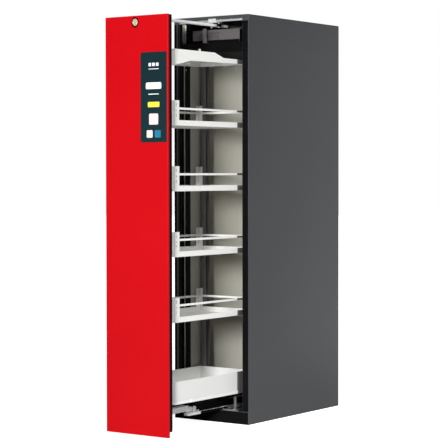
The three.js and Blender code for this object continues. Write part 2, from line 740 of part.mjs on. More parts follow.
function guardRail(bottom) {
  const half = halfPullout - traySheet - seat;
  const low = trayFront + traySheet + seat;
  const high = trayRear - traySheet - seat;
  const ring = (inset) => [[inset - half, low + inset], [half - inset, low + inset],
    [half - inset, high - inset], [inset - half, high - inset]];
  return extrudeUp(outlineShape(ring(0), [ring(guardThickness)]),
    bottom + guardRise, bottom + guardRise + guardHeight);
}

// Chassis under the sump, and the sump
const chassisFootGap = 86;
const chassisHeight = 14.7;
const chassisOverhang = 1.5;
const chassisRailWidth = 24;
const crossMemberShares = [[0.4, 0.483], [0.782, 0.849], [0.948, 1]];
const sumpHeight = 90;
const sumpSheet = 2;
const sumpSideGap = 2;
const sumpHalf = halfPullout - sumpSideGap;
const chassisBottom = plinthHeight + chassisFootGap;
const chassisTop = chassisBottom + chassisHeight;
const sumpBottom = chassisTop + seat;
const sumpTop = sumpBottom + sumpHeight;
const crossMembers = crossMemberShares.map(([start, end]) =>
  [trayFront + start * trayLength, trayFront + end * trayLength]);

function chassis() {
  const outer = halfPullout + chassisOverhang;
  const rails = [-1, 1].map((side) => {
    const [x0, x1] = span(side, outer - chassisRailWidth, outer);
    return block([x0, trayFront + gussetLength, chassisBottom], [x1, trayRear, chassisTop]);
  });
  const apron = block([-sumpHalf, trayFront, chassisBottom],
    [sumpHalf, trayFront + gussetLength + overrun, chassisTop]);
  const bars = crossMembers.map(([near, far]) => block(
    [-halfPullout, near, chassisBottom], [halfPullout, far, chassisTop]));
  return join(apron, ...rails, ...bars);
}

addPiece(pullout, 'drawer_chassis', 'trayPaint', chassis());
addPiece(pullout, 'sump_tray', 'trayPaint', cut(
  block([-sumpHalf, trayFront, sumpBottom], [sumpHalf, trayRear, sumpTop]),
  block([sumpSheet - sumpHalf, trayFront + sumpSheet, sumpBottom + sumpSheet],
    [sumpHalf - sumpSheet, trayRear - sumpSheet, sumpTop + overrun])));

// Trays at an even pitch between the sump and the carrier
const topTrayBottom = carrierTop - topTrayDrop;
const lowestTrayBottom = sumpTop + lowestTrayGap;
const trayPitch = (topTrayBottom - lowestTrayBottom) / (trayCount - 1);
const trayBottoms = Array.from({ length: trayCount }, (unused, index) => topTrayBottom - index * trayPitch);
trayBottoms.forEach((bottom, index) => {
  addPiece(pullout, `tray_${index + 1}`, 'trayPaint', tray(bottom));
  addPiece(pullout, `guard_rail_${index + 1}`, 'trayPaint', guardRail(bottom));
});

// Telescopic floor slides: fixed channel, middle member, and the channel under the pull-out
const slidePlaceShare = 0.3344;
const slideHalfWidth = 18;
const slideWall = 3;
const fixedHeight = 18;
const fixedRearGap = 11.1;
const drawerRailGap = 28;
const drawerRailHeight = 25;
const webHalfWidth = 5;
const riserHalfWidth = 9;
const riserLength = 14;
const slideX = halfOpening * slidePlaceShare;
const drawerRailBottom = plinthHeight + drawerRailGap;
const drawerRailTop = drawerRailBottom + drawerRailHeight;
const fixedBottom = plinthHeight + seat;
const flangeHalf = slideHalfWidth - slideWall - runningGap;
const lowFlangeBottom = fixedBottom + slideWall + runningGap;
const lowFlangeTop = fixedBottom + fixedHeight - slideWall;
const highFlangeTop = drawerRailTop - slideWall - runningGap;
const highFlangeBottom = drawerRailBottom + slideWall;

function fixedRail(x) {
  return extrudeBack(outlineShape([
    [x - slideHalfWidth, fixedBottom], [x + slideHalfWidth, fixedBottom],
    [x + slideHalfWidth, fixedBottom + fixedHeight],
    [x + slideHalfWidth - slideWall, fixedBottom + fixedHeight],
    [x + slideHalfWidth - slideWall, fixedBottom + slideWall],
    [x - slideHalfWidth + slideWall, fixedBottom + slideWall],
    [x - slideHalfWidth + slideWall, fixedBottom + fixedHeight],
    [x - slideHalfWidth, fixedBottom + fixedHeight],
  ]), sealRear + seat, trayRear - fixedRearGap);
}

function middleRail(x) {
  return extrudeBack(outlineShape([
    [x - flangeHalf, lowFlangeBottom], [x + flangeHalf, lowFlangeBottom],
    [x + flangeHalf, lowFlangeTop], [x + webHalfWidth, lowFlangeTop],
    [x + webHalfWidth, highFlangeBottom], [x + flangeHalf, highFlangeBottom],
    [x + flangeHalf, highFlangeTop], [x - flangeHalf, highFlangeTop],
    [x - flangeHalf, highFlangeBottom], [x - webHalfWidth, highFlangeBottom],
    [x - webHalfWidth, lowFlangeTop], [x - flangeHalf, lowFlangeTop],
  ]), front + doorSeatGap, front + doorSeatGap + slideLength);
}

function drawerRail(x) {
  const channel = extrudeBack(outlineShape([
    [x - slideHalfWidth, drawerRailBottom], [x - slideHalfWidth + slideWall, drawerRailBottom],
    [x - slideHalfWidth + slideWall, drawerRailTop - slideWall],
    [x + slideHalfWidth - slideWall, drawerRailTop - slideWall],
    [x + slideHalfWidth - slideWall, drawerRailBottom], [x + slideHalfWidth, drawerRailBottom],
    [x + slideHalfWidth, drawerRailTop], [x - slideHalfWidth, drawerRailTop],
  ]), linerFront, linerFront + slideLength);
  const risers = crossMembers.slice(0, -1).map(([near, far]) => block(
    [x - riserHalfWidth, (near + far - riserLength) / 2, drawerRailTop - slideWall / 2],
    [x + riserHalfWidth, (near + far + riserLength) / 2, chassisBottom - seat]));
  return join(channel, ...risers);
}

for (const [word, side] of sides) {
  addPiece(cabinet, `floor_rail_${word}`, 'zinc', fixedRail(side * slideX));
  addPiece(middleMembers, `middle_rail_${word}`, 'zinc', middleRail(side * slideX));
  addPiece(pullout, `drawer_rail_${word}`, 'zinc', drawerRail(side * slideX));
}

// Threshold strip on the floor board, low where the slides pass, and the lower guide post
const sillBaseThickness = 1.5;
const sillHeight = 7;
const sillThickness = 3;
const sillPassGap = 6;
const guidePostInset = 45.5;
const guidePostWidth = 14;
const guidePostHeight = 66.7;
const guidePostSheet = 3;
const guidePostFootDepth = 20;
const guidePostFootWidth = 30;

function sillStrip() {
  const near = stripFront;
  const far = boardFront - seat;
  const low = plinthHeight + seat;
  const base = block([-betweenBoards, near, low], [betweenBoards, far, low + sillBaseThickness]);
  const upstand = block([-betweenBoards, near, low],
    [betweenBoards, near + sillThickness, low + sillHeight]);
  const gaps = [-1, 1].map((side) => {
    const passHalf = slideHalfWidth + sillPassGap;
    const [x0, x1] = span(side, slideX - passHalf, slideX + passHalf);
    return block([x0, near - overrun, low + sillBaseThickness],
      [x1, far + overrun, low + sillHeight + overrun]);
  });
  return cut(join(base, upstand), ...gaps);
}

addPiece(cabinet, 'sill_strip', 'zinc', sillStrip());

const guidePostFront = sealRear + seat;
const guidePostBottom = plinthHeight + seat;
const guidePostX = halfOpening - guidePostInset;
addPiece(cabinet, 'guide_post', 'zinc', join(
  block([guidePostX - guidePostWidth / 2, guidePostFront, guidePostBottom],
    [guidePostX + guidePostWidth / 2, guidePostFront + guidePostSheet, guidePostBottom + guidePostHeight]),
  block([guidePostX - guidePostFootWidth / 2, guidePostFront, guidePostBottom],
    [guidePostX + guidePostFootWidth / 2, guidePostFront + guidePostFootDepth,
      guidePostBottom + guidePostSheet])));

// Exhaust duct on the rear wall, open to the board behind it and to the spigot above
const ductWidth = 120;
const ductSheet = 1.5;
const ductFloorGap = 30;
const ductSlotCount = 5;
const ductSlotWidth = 80;
const ductSlotHeight = 10;

function exhaustDuct() {
  const x0 = -spigotFromMiddle - ductWidth / 2;
  const x1 = x0 + ductWidth;
  const rear = backBoardFront - seat;
  const near = ductFront;
  const top = ceilingBottom - seat;
  const low = plinthHeight + ductFloorGap;
  const shell = block([x0, near, low], [x1, rear, top]);
  const hollow = block([x0 + ductSheet, near + ductSheet, low + ductSheet],
    [x1 - ductSheet, rear + overrun, top + overrun]);
  const pitch = (top - low) / ductSlotCount;
  const slots = Array.from({ length: ductSlotCount }, (unused, index) => {
    const z = low + (index + 1 / 2) * pitch;
    return block([(x0 + x1 - ductSlotWidth) / 2, near - overrun, z - ductSlotHeight / 2],
      [(x0 + x1 + ductSlotWidth) / 2, near + overrun, z + ductSlotHeight / 2]);
  });
  return cut(shell, hollow, ...slots);
}

addPiece(cabinet, 'exhaust_duct', 'board', exhaustDuct());

export default cabinet;
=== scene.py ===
# %% [markdown]
# # Dressing a fire-rated pull-out cabinet
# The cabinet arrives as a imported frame: every sheet, board, rail and tray is there at its real size, as plain
# faceted solids. This notebook gives them their finish. It rounds the edges that a press brake or a router leaves,
# adds the small fixings that repeat, and mixes a procedural material for each surface.

# %% Load the frame
import json
import math

import bmesh
import bpy
from mathutils import Matrix, Vector


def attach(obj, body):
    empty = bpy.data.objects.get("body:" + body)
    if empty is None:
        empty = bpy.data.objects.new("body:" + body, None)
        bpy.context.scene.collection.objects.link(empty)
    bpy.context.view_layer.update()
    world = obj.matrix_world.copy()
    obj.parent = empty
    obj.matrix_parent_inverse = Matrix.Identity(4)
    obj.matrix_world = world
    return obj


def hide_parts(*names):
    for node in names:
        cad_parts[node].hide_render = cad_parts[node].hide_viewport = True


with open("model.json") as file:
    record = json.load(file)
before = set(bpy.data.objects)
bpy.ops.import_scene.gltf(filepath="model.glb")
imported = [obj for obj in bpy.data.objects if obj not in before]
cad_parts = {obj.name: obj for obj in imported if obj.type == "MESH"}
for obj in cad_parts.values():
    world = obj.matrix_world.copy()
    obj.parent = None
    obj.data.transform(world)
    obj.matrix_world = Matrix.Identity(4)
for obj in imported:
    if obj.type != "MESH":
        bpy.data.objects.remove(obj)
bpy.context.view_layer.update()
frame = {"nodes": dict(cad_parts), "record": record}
nodes = frame["nodes"]
body_of = {node: body for body, members in frame["record"]["behaviour"]["bodies"].items() for node in members}
slot_of = {row["node"]: row["material_slot"] for row in frame["record"]["subparts"]}
mm = 0.001

# %% [markdown]
# ## The camera
# A long lens from the front right, at about chest height, shows the red front and the plain side together. A
# camera object looks down its own -Z axis, so its turn is built from three directions: where it looks, what is
# right of it and what is above it. Writing the basis out is clearer here than chaining Euler angles.

# %% Camera
camera_place = Vector((4.72529, -6.97852, 1.20593))
camera_turn = math.radians(35.4277)
camera_tilt = math.radians(1.5947)
camera_roll = math.radians(-0.0723)
camera_lens = 136.391

level_right = Vector((math.cos(camera_turn), math.sin(camera_turn), 0))
look = Vector((-math.sin(camera_turn) * math.cos(camera_tilt), math.cos(camera_turn) * math.cos(camera_tilt),
               -math.sin(camera_tilt)))
level_up = level_right.cross(look)
camera_right = level_right * math.cos(camera_roll) + level_up * math.sin(camera_roll)
camera_up = level_up * math.cos(camera_roll) - level_right * math.sin(camera_roll)
camera = bpy.data.objects.new("camera", bpy.data.cameras.new("camera"))
camera.data.lens = camera_lens
camera.data.clip_end = 100
camera.matrix_world = Matrix.Translation(camera_place) @ Matrix((camera_right, camera_up, -look)).transposed().to_4x4()
bpy.context.scene.collection.objects.link(camera)
bpy.context.scene.camera = camera
print("camera looks along", tuple(round(part, 3) for part in look))

# %% [markdown]
# ## The world and the view
# A product of this kind is photographed on a pale sweep, which the picture shows as plain white. One white background
# would do for that, but it would also light the object from all sides and flatten it. So the world has two: the
# camera sees a white one, and the object is lit by a dim one, which leaves the side darker near its top, where it
# reflects no floor. The Standard view transform keeps the saturated red and the clean whites that a tone curve
# would dull.

# %% World
fill_strength = 0.06
plain_white = (1, 1, 1, 1)

bpy.context.scene.view_settings.view_transform = "Standard"
bpy.context.scene.view_settings.look = "None"


def add_node(tree, kind, place=(0, 0), **settings):
    """A node of that kind in a tree, with its plain settings."""
    node = tree.nodes.new(kind)
    node.location = place
    for name, value in settings.items():
        setattr(node, name, value)
    return node


world = bpy.data.worlds.new("studio")
world.use_nodes = True
world_tree = world.node_tree
world_tree.nodes.clear()
world_out = add_node(world_tree, "ShaderNodeOutputWorld", (600, 0))
world_mix = add_node(world_tree, "ShaderNodeMixShader", (400, 0))
world_seen = add_node(world_tree, "ShaderNodeBackground", (200, -150))
world_seen.inputs["Color"].default_value = plain_white
world_fill = add_node(world_tree, "ShaderNodeBackground", (200, 50))
world_fill.inputs["Color"].default_value = plain_white
world_fill.inputs["Strength"].default_value = fill_strength
world_rays = add_node(world_tree, "ShaderNodeLightPath", (200, 400))
world_tree.links.new(world_rays.outputs["Is Camera Ray"], world_mix.inputs["Fac"])
world_tree.links.new(world_fill.outputs["Background"], world_mix.inputs[1])
world_tree.links.new(world_seen.outputs["Background"], world_mix.inputs[2])
world_tree.links.new(world_mix.outputs["Shader"], world_out.inputs["Surface"])
bpy.context.scene.world = world
print("world: white to the camera,", fill_strength, "to the object")

# %% [markdown]
# ## The floor
# The floor is a disc so wide that no view shows its edge. It is pale and matt, and throws light up at the object.
# Where the camera sees it, a little emission lifts it to white. The Light Path node keeps that emission from the
# other rays, so it adds nothing to the light on the object.

# %% Floor
floor_radius = 40.0
floor_sides = 96
floor_tone = (0.8, 0.8, 0.8, 1)
floor_roughness = 0.9
floor_lift = 0.95


def blank_material(name):
    """A material with an empty node tree."""
    material = bpy.data.materials.new(name)
    material.use_nodes = True
    material.node_tree.nodes.clear()
    return material


floor_material = blank_material("pale_floor")
floor_tree = floor_material.node_tree
floor_out = add_node(floor_tree, "ShaderNodeOutputMaterial", (300, 0))
floor_shader = add_node(floor_tree, "ShaderNodeBsdfPrincipled")
floor_shader.inputs["Base Color"].default_value = floor_tone
floor_shader.inputs["Roughness"].default_value = floor_roughness
floor_shader.inputs["Specular IOR Level"].default_value = 0.0
floor_shader.inputs["Emission Color"].default_value = plain_white
floor_seen = add_node(floor_tree, "ShaderNodeLightPath", (-500, 0))
floor_raise = add_node(floor_tree, "ShaderNodeMath", (-250, 0), operation="MULTIPLY")
floor_raise.inputs[1].default_value = floor_lift
floor_tree.links.new(floor_seen.outputs["Is Camera Ray"], floor_raise.inputs[0])
floor_tree.links.new(floor_raise.outputs["Value"], floor_shader.inputs["Emission Strength"])
floor_tree.links.new(floor_shader.outputs["BSDF"], floor_out.inputs["Surface"])
floor_mesh = bpy.data.meshes.new("floor")
floor_shape = bmesh.new()
bmesh.ops.create_circle(floor_shape, cap_ends=True, segments=floor_sides, radius=floor_radius)
floor_shape.to_mesh(floor_mesh)
floor_shape.free()
floor = bpy.data.objects.new("floor", floor_mesh)
floor.data.materials.append(floor_material)
bpy.context.scene.collection.objects.link(floor)
print("floor:", floor_radius, "m radius")

# %% [markdown]
# ## The lamps
# The key light is a soft box at chest height, some metres away beside the camera. It reaches past the pulled-out
# front deep into the opening, while the front's own shadow keeps the left edge of the opening dark. A lamp high at
# the right whitens the sides of the trays. A broad lamp overhead lights the floor, which then lights the object from
# below. These two are suns with a disc, because their light doesn't fall off over the floor.
#
# A photographer shades the front from a light that is meant for the inside. Light linking does this here: a second
# soft box, beside the first and a little larger, lights the boards alone, and the lamp at the right spares them. A
# tall strip behind the cabinet lights the right side panel alone, which grows lighter towards its rear edge.

# %% Lamp helpers
aim = Vector((0.0, -0.5, 1.0))


def sun(name, azimuth, height, disc, strength):
    """A far lamp: its azimuth from the front towards the right, its height over the horizon and its disc."""
    turn, lift = math.radians(azimuth), math.radians(height)
    towards = Vector((math.sin(turn) * math.cos(lift), -math.cos(turn) * math.cos(lift), math.sin(lift)))
    light = bpy.data.lights.new(name, "SUN")
    light.energy = strength
    light.angle = math.radians(disc)
    holder = bpy.data.objects.new(name, light)
    holder.rotation_euler = (-towards).to_track_quat("-Z", "Y").to_euler()
    bpy.context.scene.collection.objects.link(holder)
    return holder


def soft_box(name, place, size, power, height=None):
    """A panel of light at a place, turned towards the object. It is square, unless a height makes it a strip."""
    light = bpy.data.lights.new(name, "AREA")
    light.energy = power
    light.size = size
    if height is not None:
        light.shape = "RECTANGLE"
        light.size_y = height
    holder = bpy.data.objects.new(name, light)
    holder.location = place
    holder.rotation_euler = (aim - Vector(place)).to_track_quat("-Z", "Y").to_euler()
    bpy.context.scene.collection.objects.link(holder)
    return holder


def receivers_of(lamp, name):
    """The collection that says which pieces a lamp lights or spares."""
    chosen = bpy.data.collections.new(name)
    lamp.light_linking.receiver_collection = chosen
    return chosen


# %% Lamps
key_place, key_size, key_power = (2.95, -8.08, 2.0), 1.0, 600.0
board_key_place, board_key_size, board_key_power = (2.75, -8.15, 1.7), 1.2, 1900.0
rim_place, rim_size, rim_height, rim_power = (1.0, 1.7, 0.8), 0.4, 2.8, 3.4
side_azimuth, side_height, side_disc, side_strength = 59, 40, 20, 1.7
top_azimuth, top_height, top_disc, top_strength = 10, 80, 70, 0.4

soft_box("key_light", key_place, key_size, key_power)
board_key = soft_box("board_key_light", board_key_place, board_key_size, board_key_power)
board_receivers = receivers_of(board_key, "lit_boards")
rim_lamp = soft_box("rim_light", rim_place, rim_size, rim_power, rim_height)
rim_lamp.visible_camera = False
rim_receivers = receivers_of(rim_lamp, "lit_side_panel")
side_lamp = sun("side_light", side_azimuth, side_height, side_disc, side_strength)
side_receivers = receivers_of(side_lamp, "lit_from_the_side")
sun("top_light", top_azimuth, top_height, top_disc, top_strength)
print("lamps:", ", ".join(light.name for light in bpy.data.lights))

# %% [markdown]
# ## Effects that several finishes share
# Powder coat, zinc and board facing all vary at two scales: a slow drift of tone that the eye reads as a real
# surface, and a fine relief that breaks up highlights. Each effect is one shader node group with named inputs,
# so that a material only states its own grain size. Groups put out masks and heights, and the shader itself stays
# in the material.

# %% Group helpers


def new_group(name, scales, outputs=("Tone", "Height", "Sheen")):
    """A shader node group that takes a vector and some scales, and its input and output nodes."""
    group = bpy.data.node_groups.new(name, "ShaderNodeTree")
    group.interface.new_socket("Vector", in_out="INPUT", socket_type="NodeSocketVector")
    for label, value in scales.items():
        group.interface.new_socket(label, in_out="INPUT", socket_type="NodeSocketFloat").default_value = value
    for label in outputs:
        group.interface.new_socket(label, in_out="OUTPUT", socket_type="NodeSocketFloat")
    return group, add_node(group, "NodeGroupInput", (-900, 0)), add_node(group, "NodeGroupOutput", (500, 0))


def noise(group, vector, scale, place, detail=2.0):
    """A noise texture in a group, its scale driven by one socket."""
    texture = add_node(group, "ShaderNodeTexNoise", place)
    texture.inputs["Detail"].default_value = detail
    group.links.new(vector, texture.inputs["Vector"])
    group.links.new(scale, texture.inputs["Scale"])
    return texture


def spread(group, value, low, high, place):
    """A map range that stretches the middle of a noise to the whole of 0 to 1."""
    node = add_node(group, "ShaderNodeMapRange", place)
    node.inputs["From Min"].default_value = low
    node.inputs["From Max"].default_value = high
    group.links.new(value, node.inputs["Value"])
    return node.outputs["Result"]


# %% [markdown]
# ### Powder coat
# Powder melts into a skin whose tone drifts a little over a metre, with a fine orange peel all over. One broad noise
# gives the drift, and a fine one gives both the peel and its sheen.

# %% Powder coat group
coat_group, coat_in, coat_out = new_group("Powder coat", {"Drift scale": 1.6, "Grain scale": 420.0})
coat_drift = noise(coat_group, coat_in.outputs["Vector"], coat_in.outputs["Drift scale"], (-600, 200), detail=3.0)
coat_grain = noise(coat_group, coat_in.outputs["Vector"], coat_in.outputs["Grain scale"], (-600, -200), detail=1.0)
coat_group.links.new(spread(coat_group, coat_drift.outputs["Fac"], 0.3, 0.7, (-300, 200)), coat_out.inputs["Tone"])
coat_group.links.new(coat_grain.outputs["Fac"], coat_out.inputs["Height"])
coat_group.links.new(spread(coat_group, coat_grain.outputs["Fac"], 0.35, 0.65, (-300, -200)),
                     coat_out.inputs["Sheen"])
print("group:", coat_group.name)

# %% [markdown]
# ### Zinc plate
# Zinc sets in small crystals, each of its own grey, and the rolled sheet below it has fine lines along its length.
# Voronoi cells give the crystals. The lines are a noise that a Mapping node stretches along Y.

# %% Zinc plate group
line_stretch = (1.0, 0.04, 1.0)
zinc_group, zinc_in, zinc_out = new_group("Zinc plate", {"Flower scale": 90.0, "Rolling scale": 260.0})
zinc_flowers = add_node(zinc_group, "ShaderNodeTexVoronoi", (-600, 200))
zinc_group.links.new(zinc_in.outputs["Vector"], zinc_flowers.inputs["Vector"])
zinc_group.links.new(zinc_in.outputs["Flower scale"], zinc_flowers.inputs["Scale"])
zinc_grey = add_node(zinc_group, "ShaderNodeSeparateColor", (-400, 200))
zinc_group.links.new(zinc_flowers.outputs["Color"], zinc_grey.inputs["Color"])
zinc_stretch = add_node(zinc_group, "ShaderNodeMapping", (-780, -200))
zinc_stretch.inputs["Scale"].default_value = line_stretch
zinc_group.links.new(zinc_in.outputs["Vector"], zinc_stretch.inputs["Vector"])
zinc_lines = noise(zinc_group, zinc_stretch.outputs["Vector"], zinc_in.outputs["Rolling scale"], (-600, -200))
zinc_group.links.new(zinc_grey.outputs["Red"], zinc_out.inputs["Tone"])
zinc_group.links.new(zinc_lines.outputs["Fac"], zinc_out.inputs["Height"])
zinc_group.links.new(spread(zinc_group, zinc_lines.outputs["Fac"], 0.3, 0.7, (-300, -200)), zinc_out.inputs["Sheen"])
print("group:", zinc_group.name)

# %% [markdown]
# ### Board facing
# A melamine facing is printed paper under resin: soft clouds with small dark flecks. The two noises are multiplied,
# so that a fleck also shows in a light cloud.

# %% Board facing group
board_group, board_in, board_out = new_group("Board facing", {"Cloud scale": 3.0, "Fleck scale": 300.0})
board_clouds = noise(board_group, board_in.outputs["Vector"], board_in.outputs["Cloud scale"], (-600, 200), detail=4.0)
board_flecks = noise(board_group, board_in.outputs["Vector"], board_in.outputs["Fleck scale"], (-600, -200))
board_both = add_node(board_group, "ShaderNodeMath", (0, 100), operation="MULTIPLY")
board_group.links.new(spread(board_group, board_clouds.outputs["Fac"], 0.25, 0.7, (-300, 200)), board_both.inputs[0])
board_group.links.new(spread(board_group, board_flecks.outputs["Fac"], 0.2, 0.55, (-300, -200)), board_both.inputs[1])
board_group.links.new(board_both.outputs["Value"], board_out.inputs["Tone"])
board_group.links.new(board_flecks.outputs["Fac"], board_out.inputs["Height"])
board_group.links.new(board_clouds.outputs["Fac"], board_out.inputs["Sheen"])
print("group:", board_group.name)

# %% [markdown]
# ### Settled dust
# Dust lies in patches on what looks up. The mask is the upward part of the normal times a noise, so it fades over a
# rounded edge by itself. A painted mask would have to be drawn again for each piece.

# %% Settled dust group
dust_group, dust_in, dust_out = new_group("Settled dust", {"Patch scale": 14.0}, ["Mask"])
dust_normal = add_node(dust_group, "ShaderNodeNewGeometry", (-900, 300))
dust_up = add_node(dust_group, "ShaderNodeSeparateXYZ", (-700, 300))
dust_group.links.new(dust_normal.outputs["Normal"], dust_up.inputs["Vector"])
dust_patches = noise(dust_group, dust_in.outputs["Vector"], dust_in.outputs["Patch scale"], (-600, 0), detail=3.0)
dust_both = add_node(dust_group, "ShaderNodeMath", (0, 100), operation="MULTIPLY")
dust_group.links.new(spread(dust_group, dust_up.outputs["Z"], 0.6, 1.0, (-400, 300)), dust_both.inputs[0])
dust_group.links.new(spread(dust_group, dust_patches.outputs["Fac"], 0.35, 0.75, (-300, 0)), dust_both.inputs[1])
dust_group.links.new(dust_both.outputs["Value"], dust_out.inputs["Mask"])
print("group:", dust_group.name)

# %% [markdown]
# ## One recipe for every finish
# All finishes here are a base colour between two close tones, a roughness between two values and a fine bump.
# The recipe wires a shared group into a Principled shader. What is the same all over, such as metalness or the
# level of the reflection, is set on the shader's own socket.

# %% Material recipe
dust_tone = (0.62, 0.6, 0.56)
bump_strength = 0.35


def finish(name, group, scales, dark, light, rough, relief, metal=0.0, specular=0.5, dust=0.0):
    """A material whose tone, sheen and relief come from one shared group."""
    material = blank_material(name)
    tree = material.node_tree
    out = add_node(tree, "ShaderNodeOutputMaterial", (900, 0))
    shader = add_node(tree, "ShaderNodeBsdfPrincipled", (600, 0))
    shader.inputs["Metallic"].default_value = metal
    shader.inputs["Specular IOR Level"].default_value = specular
    tree.links.new(shader.outputs["BSDF"], out.inputs["Surface"])
    where = add_node(tree, "ShaderNodeTexCoord", (-700, 0))
    effect = add_node(tree, "ShaderNodeGroup", (-400, 0), node_tree=group)
    tree.links.new(where.outputs["Object"], effect.inputs["Vector"])
    for socket, value in scales.items():
        effect.inputs[socket].default_value = value
    tone = add_node(tree, "ShaderNodeMix", (-100, 200), data_type="RGBA")
    tone.inputs["A"].default_value = (*dark, 1)
    tone.inputs["B"].default_value = (*light, 1)
    tree.links.new(effect.outputs["Tone"], tone.inputs["Factor"])
    colour = tone.outputs["Result"]
    if dust:
        settled = add_node(tree, "ShaderNodeGroup", (-400, 400), node_tree=dust_group)
        tree.links.new(where.outputs["Object"], settled.inputs["Vector"])
        amount = add_node(tree, "ShaderNodeMath", (-100, 450), operation="MULTIPLY")
        amount.inputs[1].default_value = dust
        tree.links.new(settled.outputs["Mask"], amount.inputs[0])
        dusted = add_node(tree, "ShaderNodeMix", (250, 300), data_type="RGBA")
        dusted.inputs["B"].default_value = (*dust_tone, 1)
        tree.links.new(amount.outputs["Value"], dusted.inputs["Factor"])
        tree.links.new(colour, dusted.inputs["A"])
        colour = dusted.outputs["Result"]
    tree.links.new(colour, shader.inputs["Base Color"])
    sheen = add_node(tree, "ShaderNodeMapRange", (-100, -100))
    sheen.inputs["To Min"].default_value, sheen.inputs["To Max"].default_value = rough
    tree.links.new(effect.outputs["Sheen"], sheen.inputs["Value"])
    tree.links.new(sheen.outputs["Result"], shader.inputs["Roughness"])
    bump = add_node(tree, "ShaderNodeBump", (300, -300))
    bump.inputs["Strength"].default_value = bump_strength
    bump.inputs["Distance"].default_value = relief
    tree.links.new(effect.outputs["Height"], bump.inputs["Height"])
    tree.links.new(bump.outputs["Normal"], shader.inputs["Normal"])
    return material


def coat(name, dark, light, rough, grain=420.0, relief=0.05 * mm, **more):
    """Powder coat, film or plastic."""
    return finish(name, coat_group, {"Grain scale": grain}, dark, light, rough, relief, **more)


# %% [markdown]
# ## The finishes of this cabinet
# The housing is anthracite powder coat, the front is signal red, and the trays are off-white. Rails and posts are
# bright zinc plate. The boards are faced with light grey melamine, which is matt. The black of the door's core and of
# the strips on the flanges is a plain edge facing with a faint gloss, and the same black serves for painted shade. Four
# more finishes are lighter and darker copies of these. A darker white on the sump and two darker zincs paint shade, and
# a lighter zinc paints light on the rails.

# %% Finishes by slot
finishes = {
    "body_paint": coat("anthracite_powder_coat", (0.049, 0.051, 0.054), (0.055, 0.057, 0.060), (0.37, 0.40),
                       specular=0.5, dust=0.04),
    "door_paint": coat("signal_red_powder_coat", (0.46, 0.0024, 0.0055), (0.49, 0.0032, 0.0068), (0.36, 0.46),
                       specular=0.06, dust=0.1),
    "door_core": coat("black_edge_facing", (0.003, 0.003, 0.0033), (0.005, 0.005, 0.0055), (0.5, 0.62),
                      specular=0.05),
    "tray_paint": coat("white_powder_coat", (0.82, 0.82, 0.795), (0.86, 0.86, 0.84), (0.34, 0.44), specular=0.4),
    "cover_paint": coat("grey_brown_powder_coat", (0.115, 0.105, 0.107), (0.14, 0.128, 0.13), (0.42, 0.55),
                        specular=0.35),
    "seal": coat("black_sealing_rubber", (0.005, 0.005, 0.006), (0.010, 0.010, 0.011), (0.65, 0.8), grain=900.0,
                 specular=0.25),
    "label": coat("deep_teal_film", (0.004, 0.018, 0.023), (0.006, 0.026, 0.032), (0.3, 0.36), grain=1400.0,
                  relief=0.01 * mm, specular=0.3),
    "nylon": coat("light_nylon", (0.60, 0.60, 0.57), (0.70, 0.70, 0.67), (0.45, 0.55), grain=700.0),
    "zinc": finish("bright_zinc_plate", zinc_group, {}, (0.66, 0.68, 0.68), (0.80, 0.82, 0.82), (0.30, 0.46),
                   0.03 * mm, metal=0.35),
    "brass": finish("nickel_brass", zinc_group, {"Flower scale": 400.0}, (0.72, 0.58, 0.36), (0.80, 0.68, 0.46),
                    (0.25, 0.35), 0.01 * mm, metal=0.45),
    "board_facing": finish("grey_melamine_facing", board_group, {}, (0.42, 0.41, 0.355), (0.47, 0.46, 0.40),
                           (0.55, 0.7), 0.04 * mm, specular=0.35),
    "floor_board": finish("dark_board_coating", board_group, {}, (0.02, 0.02, 0.02), (0.04, 0.04, 0.038),
                          (0.6, 0.8), 0.1 * mm, specular=0.3),
}
# A darker copy of the trays' white paints the shade on the sump.
sump_shaded_paint = coat("shaded_white_powder_coat", (0.74, 0.74, 0.725), (0.79, 0.79, 0.775), (0.34, 0.44), specular=0.4)
# A darker copy of the zinc paints the shade low in the opening.
shaded_zinc = finish("shaded_zinc_plate", zinc_group, {}, (0.15, 0.155, 0.155), (0.21, 0.215, 0.215), (0.4, 0.55),
                   0.03 * mm, metal=0.2)
# A half-dark copy of the zinc paints shade on the light strip.
half_shaded_zinc = finish("half_shaded_zinc_plate", zinc_group, {}, (0.40, 0.41, 0.41), (0.48, 0.49, 0.49), (0.4, 0.55),
                   0.03 * mm, metal=0.3)
# A lighter copy of the zinc paints the light on the rails.
lit_zinc = finish("lit_zinc_plate", zinc_group, {}, (0.80, 0.82, 0.82), (0.90, 0.92, 0.92), (0.25, 0.4),
                     0.02 * mm, metal=0.1)
print("finishes:", len(finishes))

# %% [markdown]
# ## From a faceted solid to a finished piece
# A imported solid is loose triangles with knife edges. A copy of it is merged, its flat faces are joined again, and
# a small bevel rounds what a folded, routed or moulded edge would round. Weighted normals keep the large faces
# flat beside the rounded edges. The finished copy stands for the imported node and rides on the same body.

# %% Copies of the solids
weld_distance = 0.005 * mm
cut_distance = 0.001 * mm
flat_angle = math.radians(0.5)


def keep(piece, body):
    """The piece rides on a body."""
    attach(piece, body)
    return piece


def merged_copy(node, rear=None, side=0.0):
    """The node's mesh, welded, its flat faces whole again. Faces behind rear and right of side are marked."""
    shape = bmesh.new()
    shape.from_mesh(nodes[node].data)
    bmesh.ops.remove_doubles(shape, verts=shape.verts, dist=weld_distance)
    bmesh.ops.dissolve_limit(shape, angle_limit=flat_angle, verts=shape.verts, edges=shape.edges)
    if rear is not None:
        bmesh.ops.bisect_plane(shape, geom=[*shape.verts, *shape.edges, *shape.faces], dist=cut_distance,
                               plane_co=(0, rear, 0), plane_no=(0, 1, 0))
        for face in shape.faces:
            middle = face.calc_center_median()
            face.material_index = int(middle.y > rear and middle.x > side)
    mesh = bpy.data.meshes.new(node)
    shape.to_mesh(mesh)
    shape.free()
    return mesh


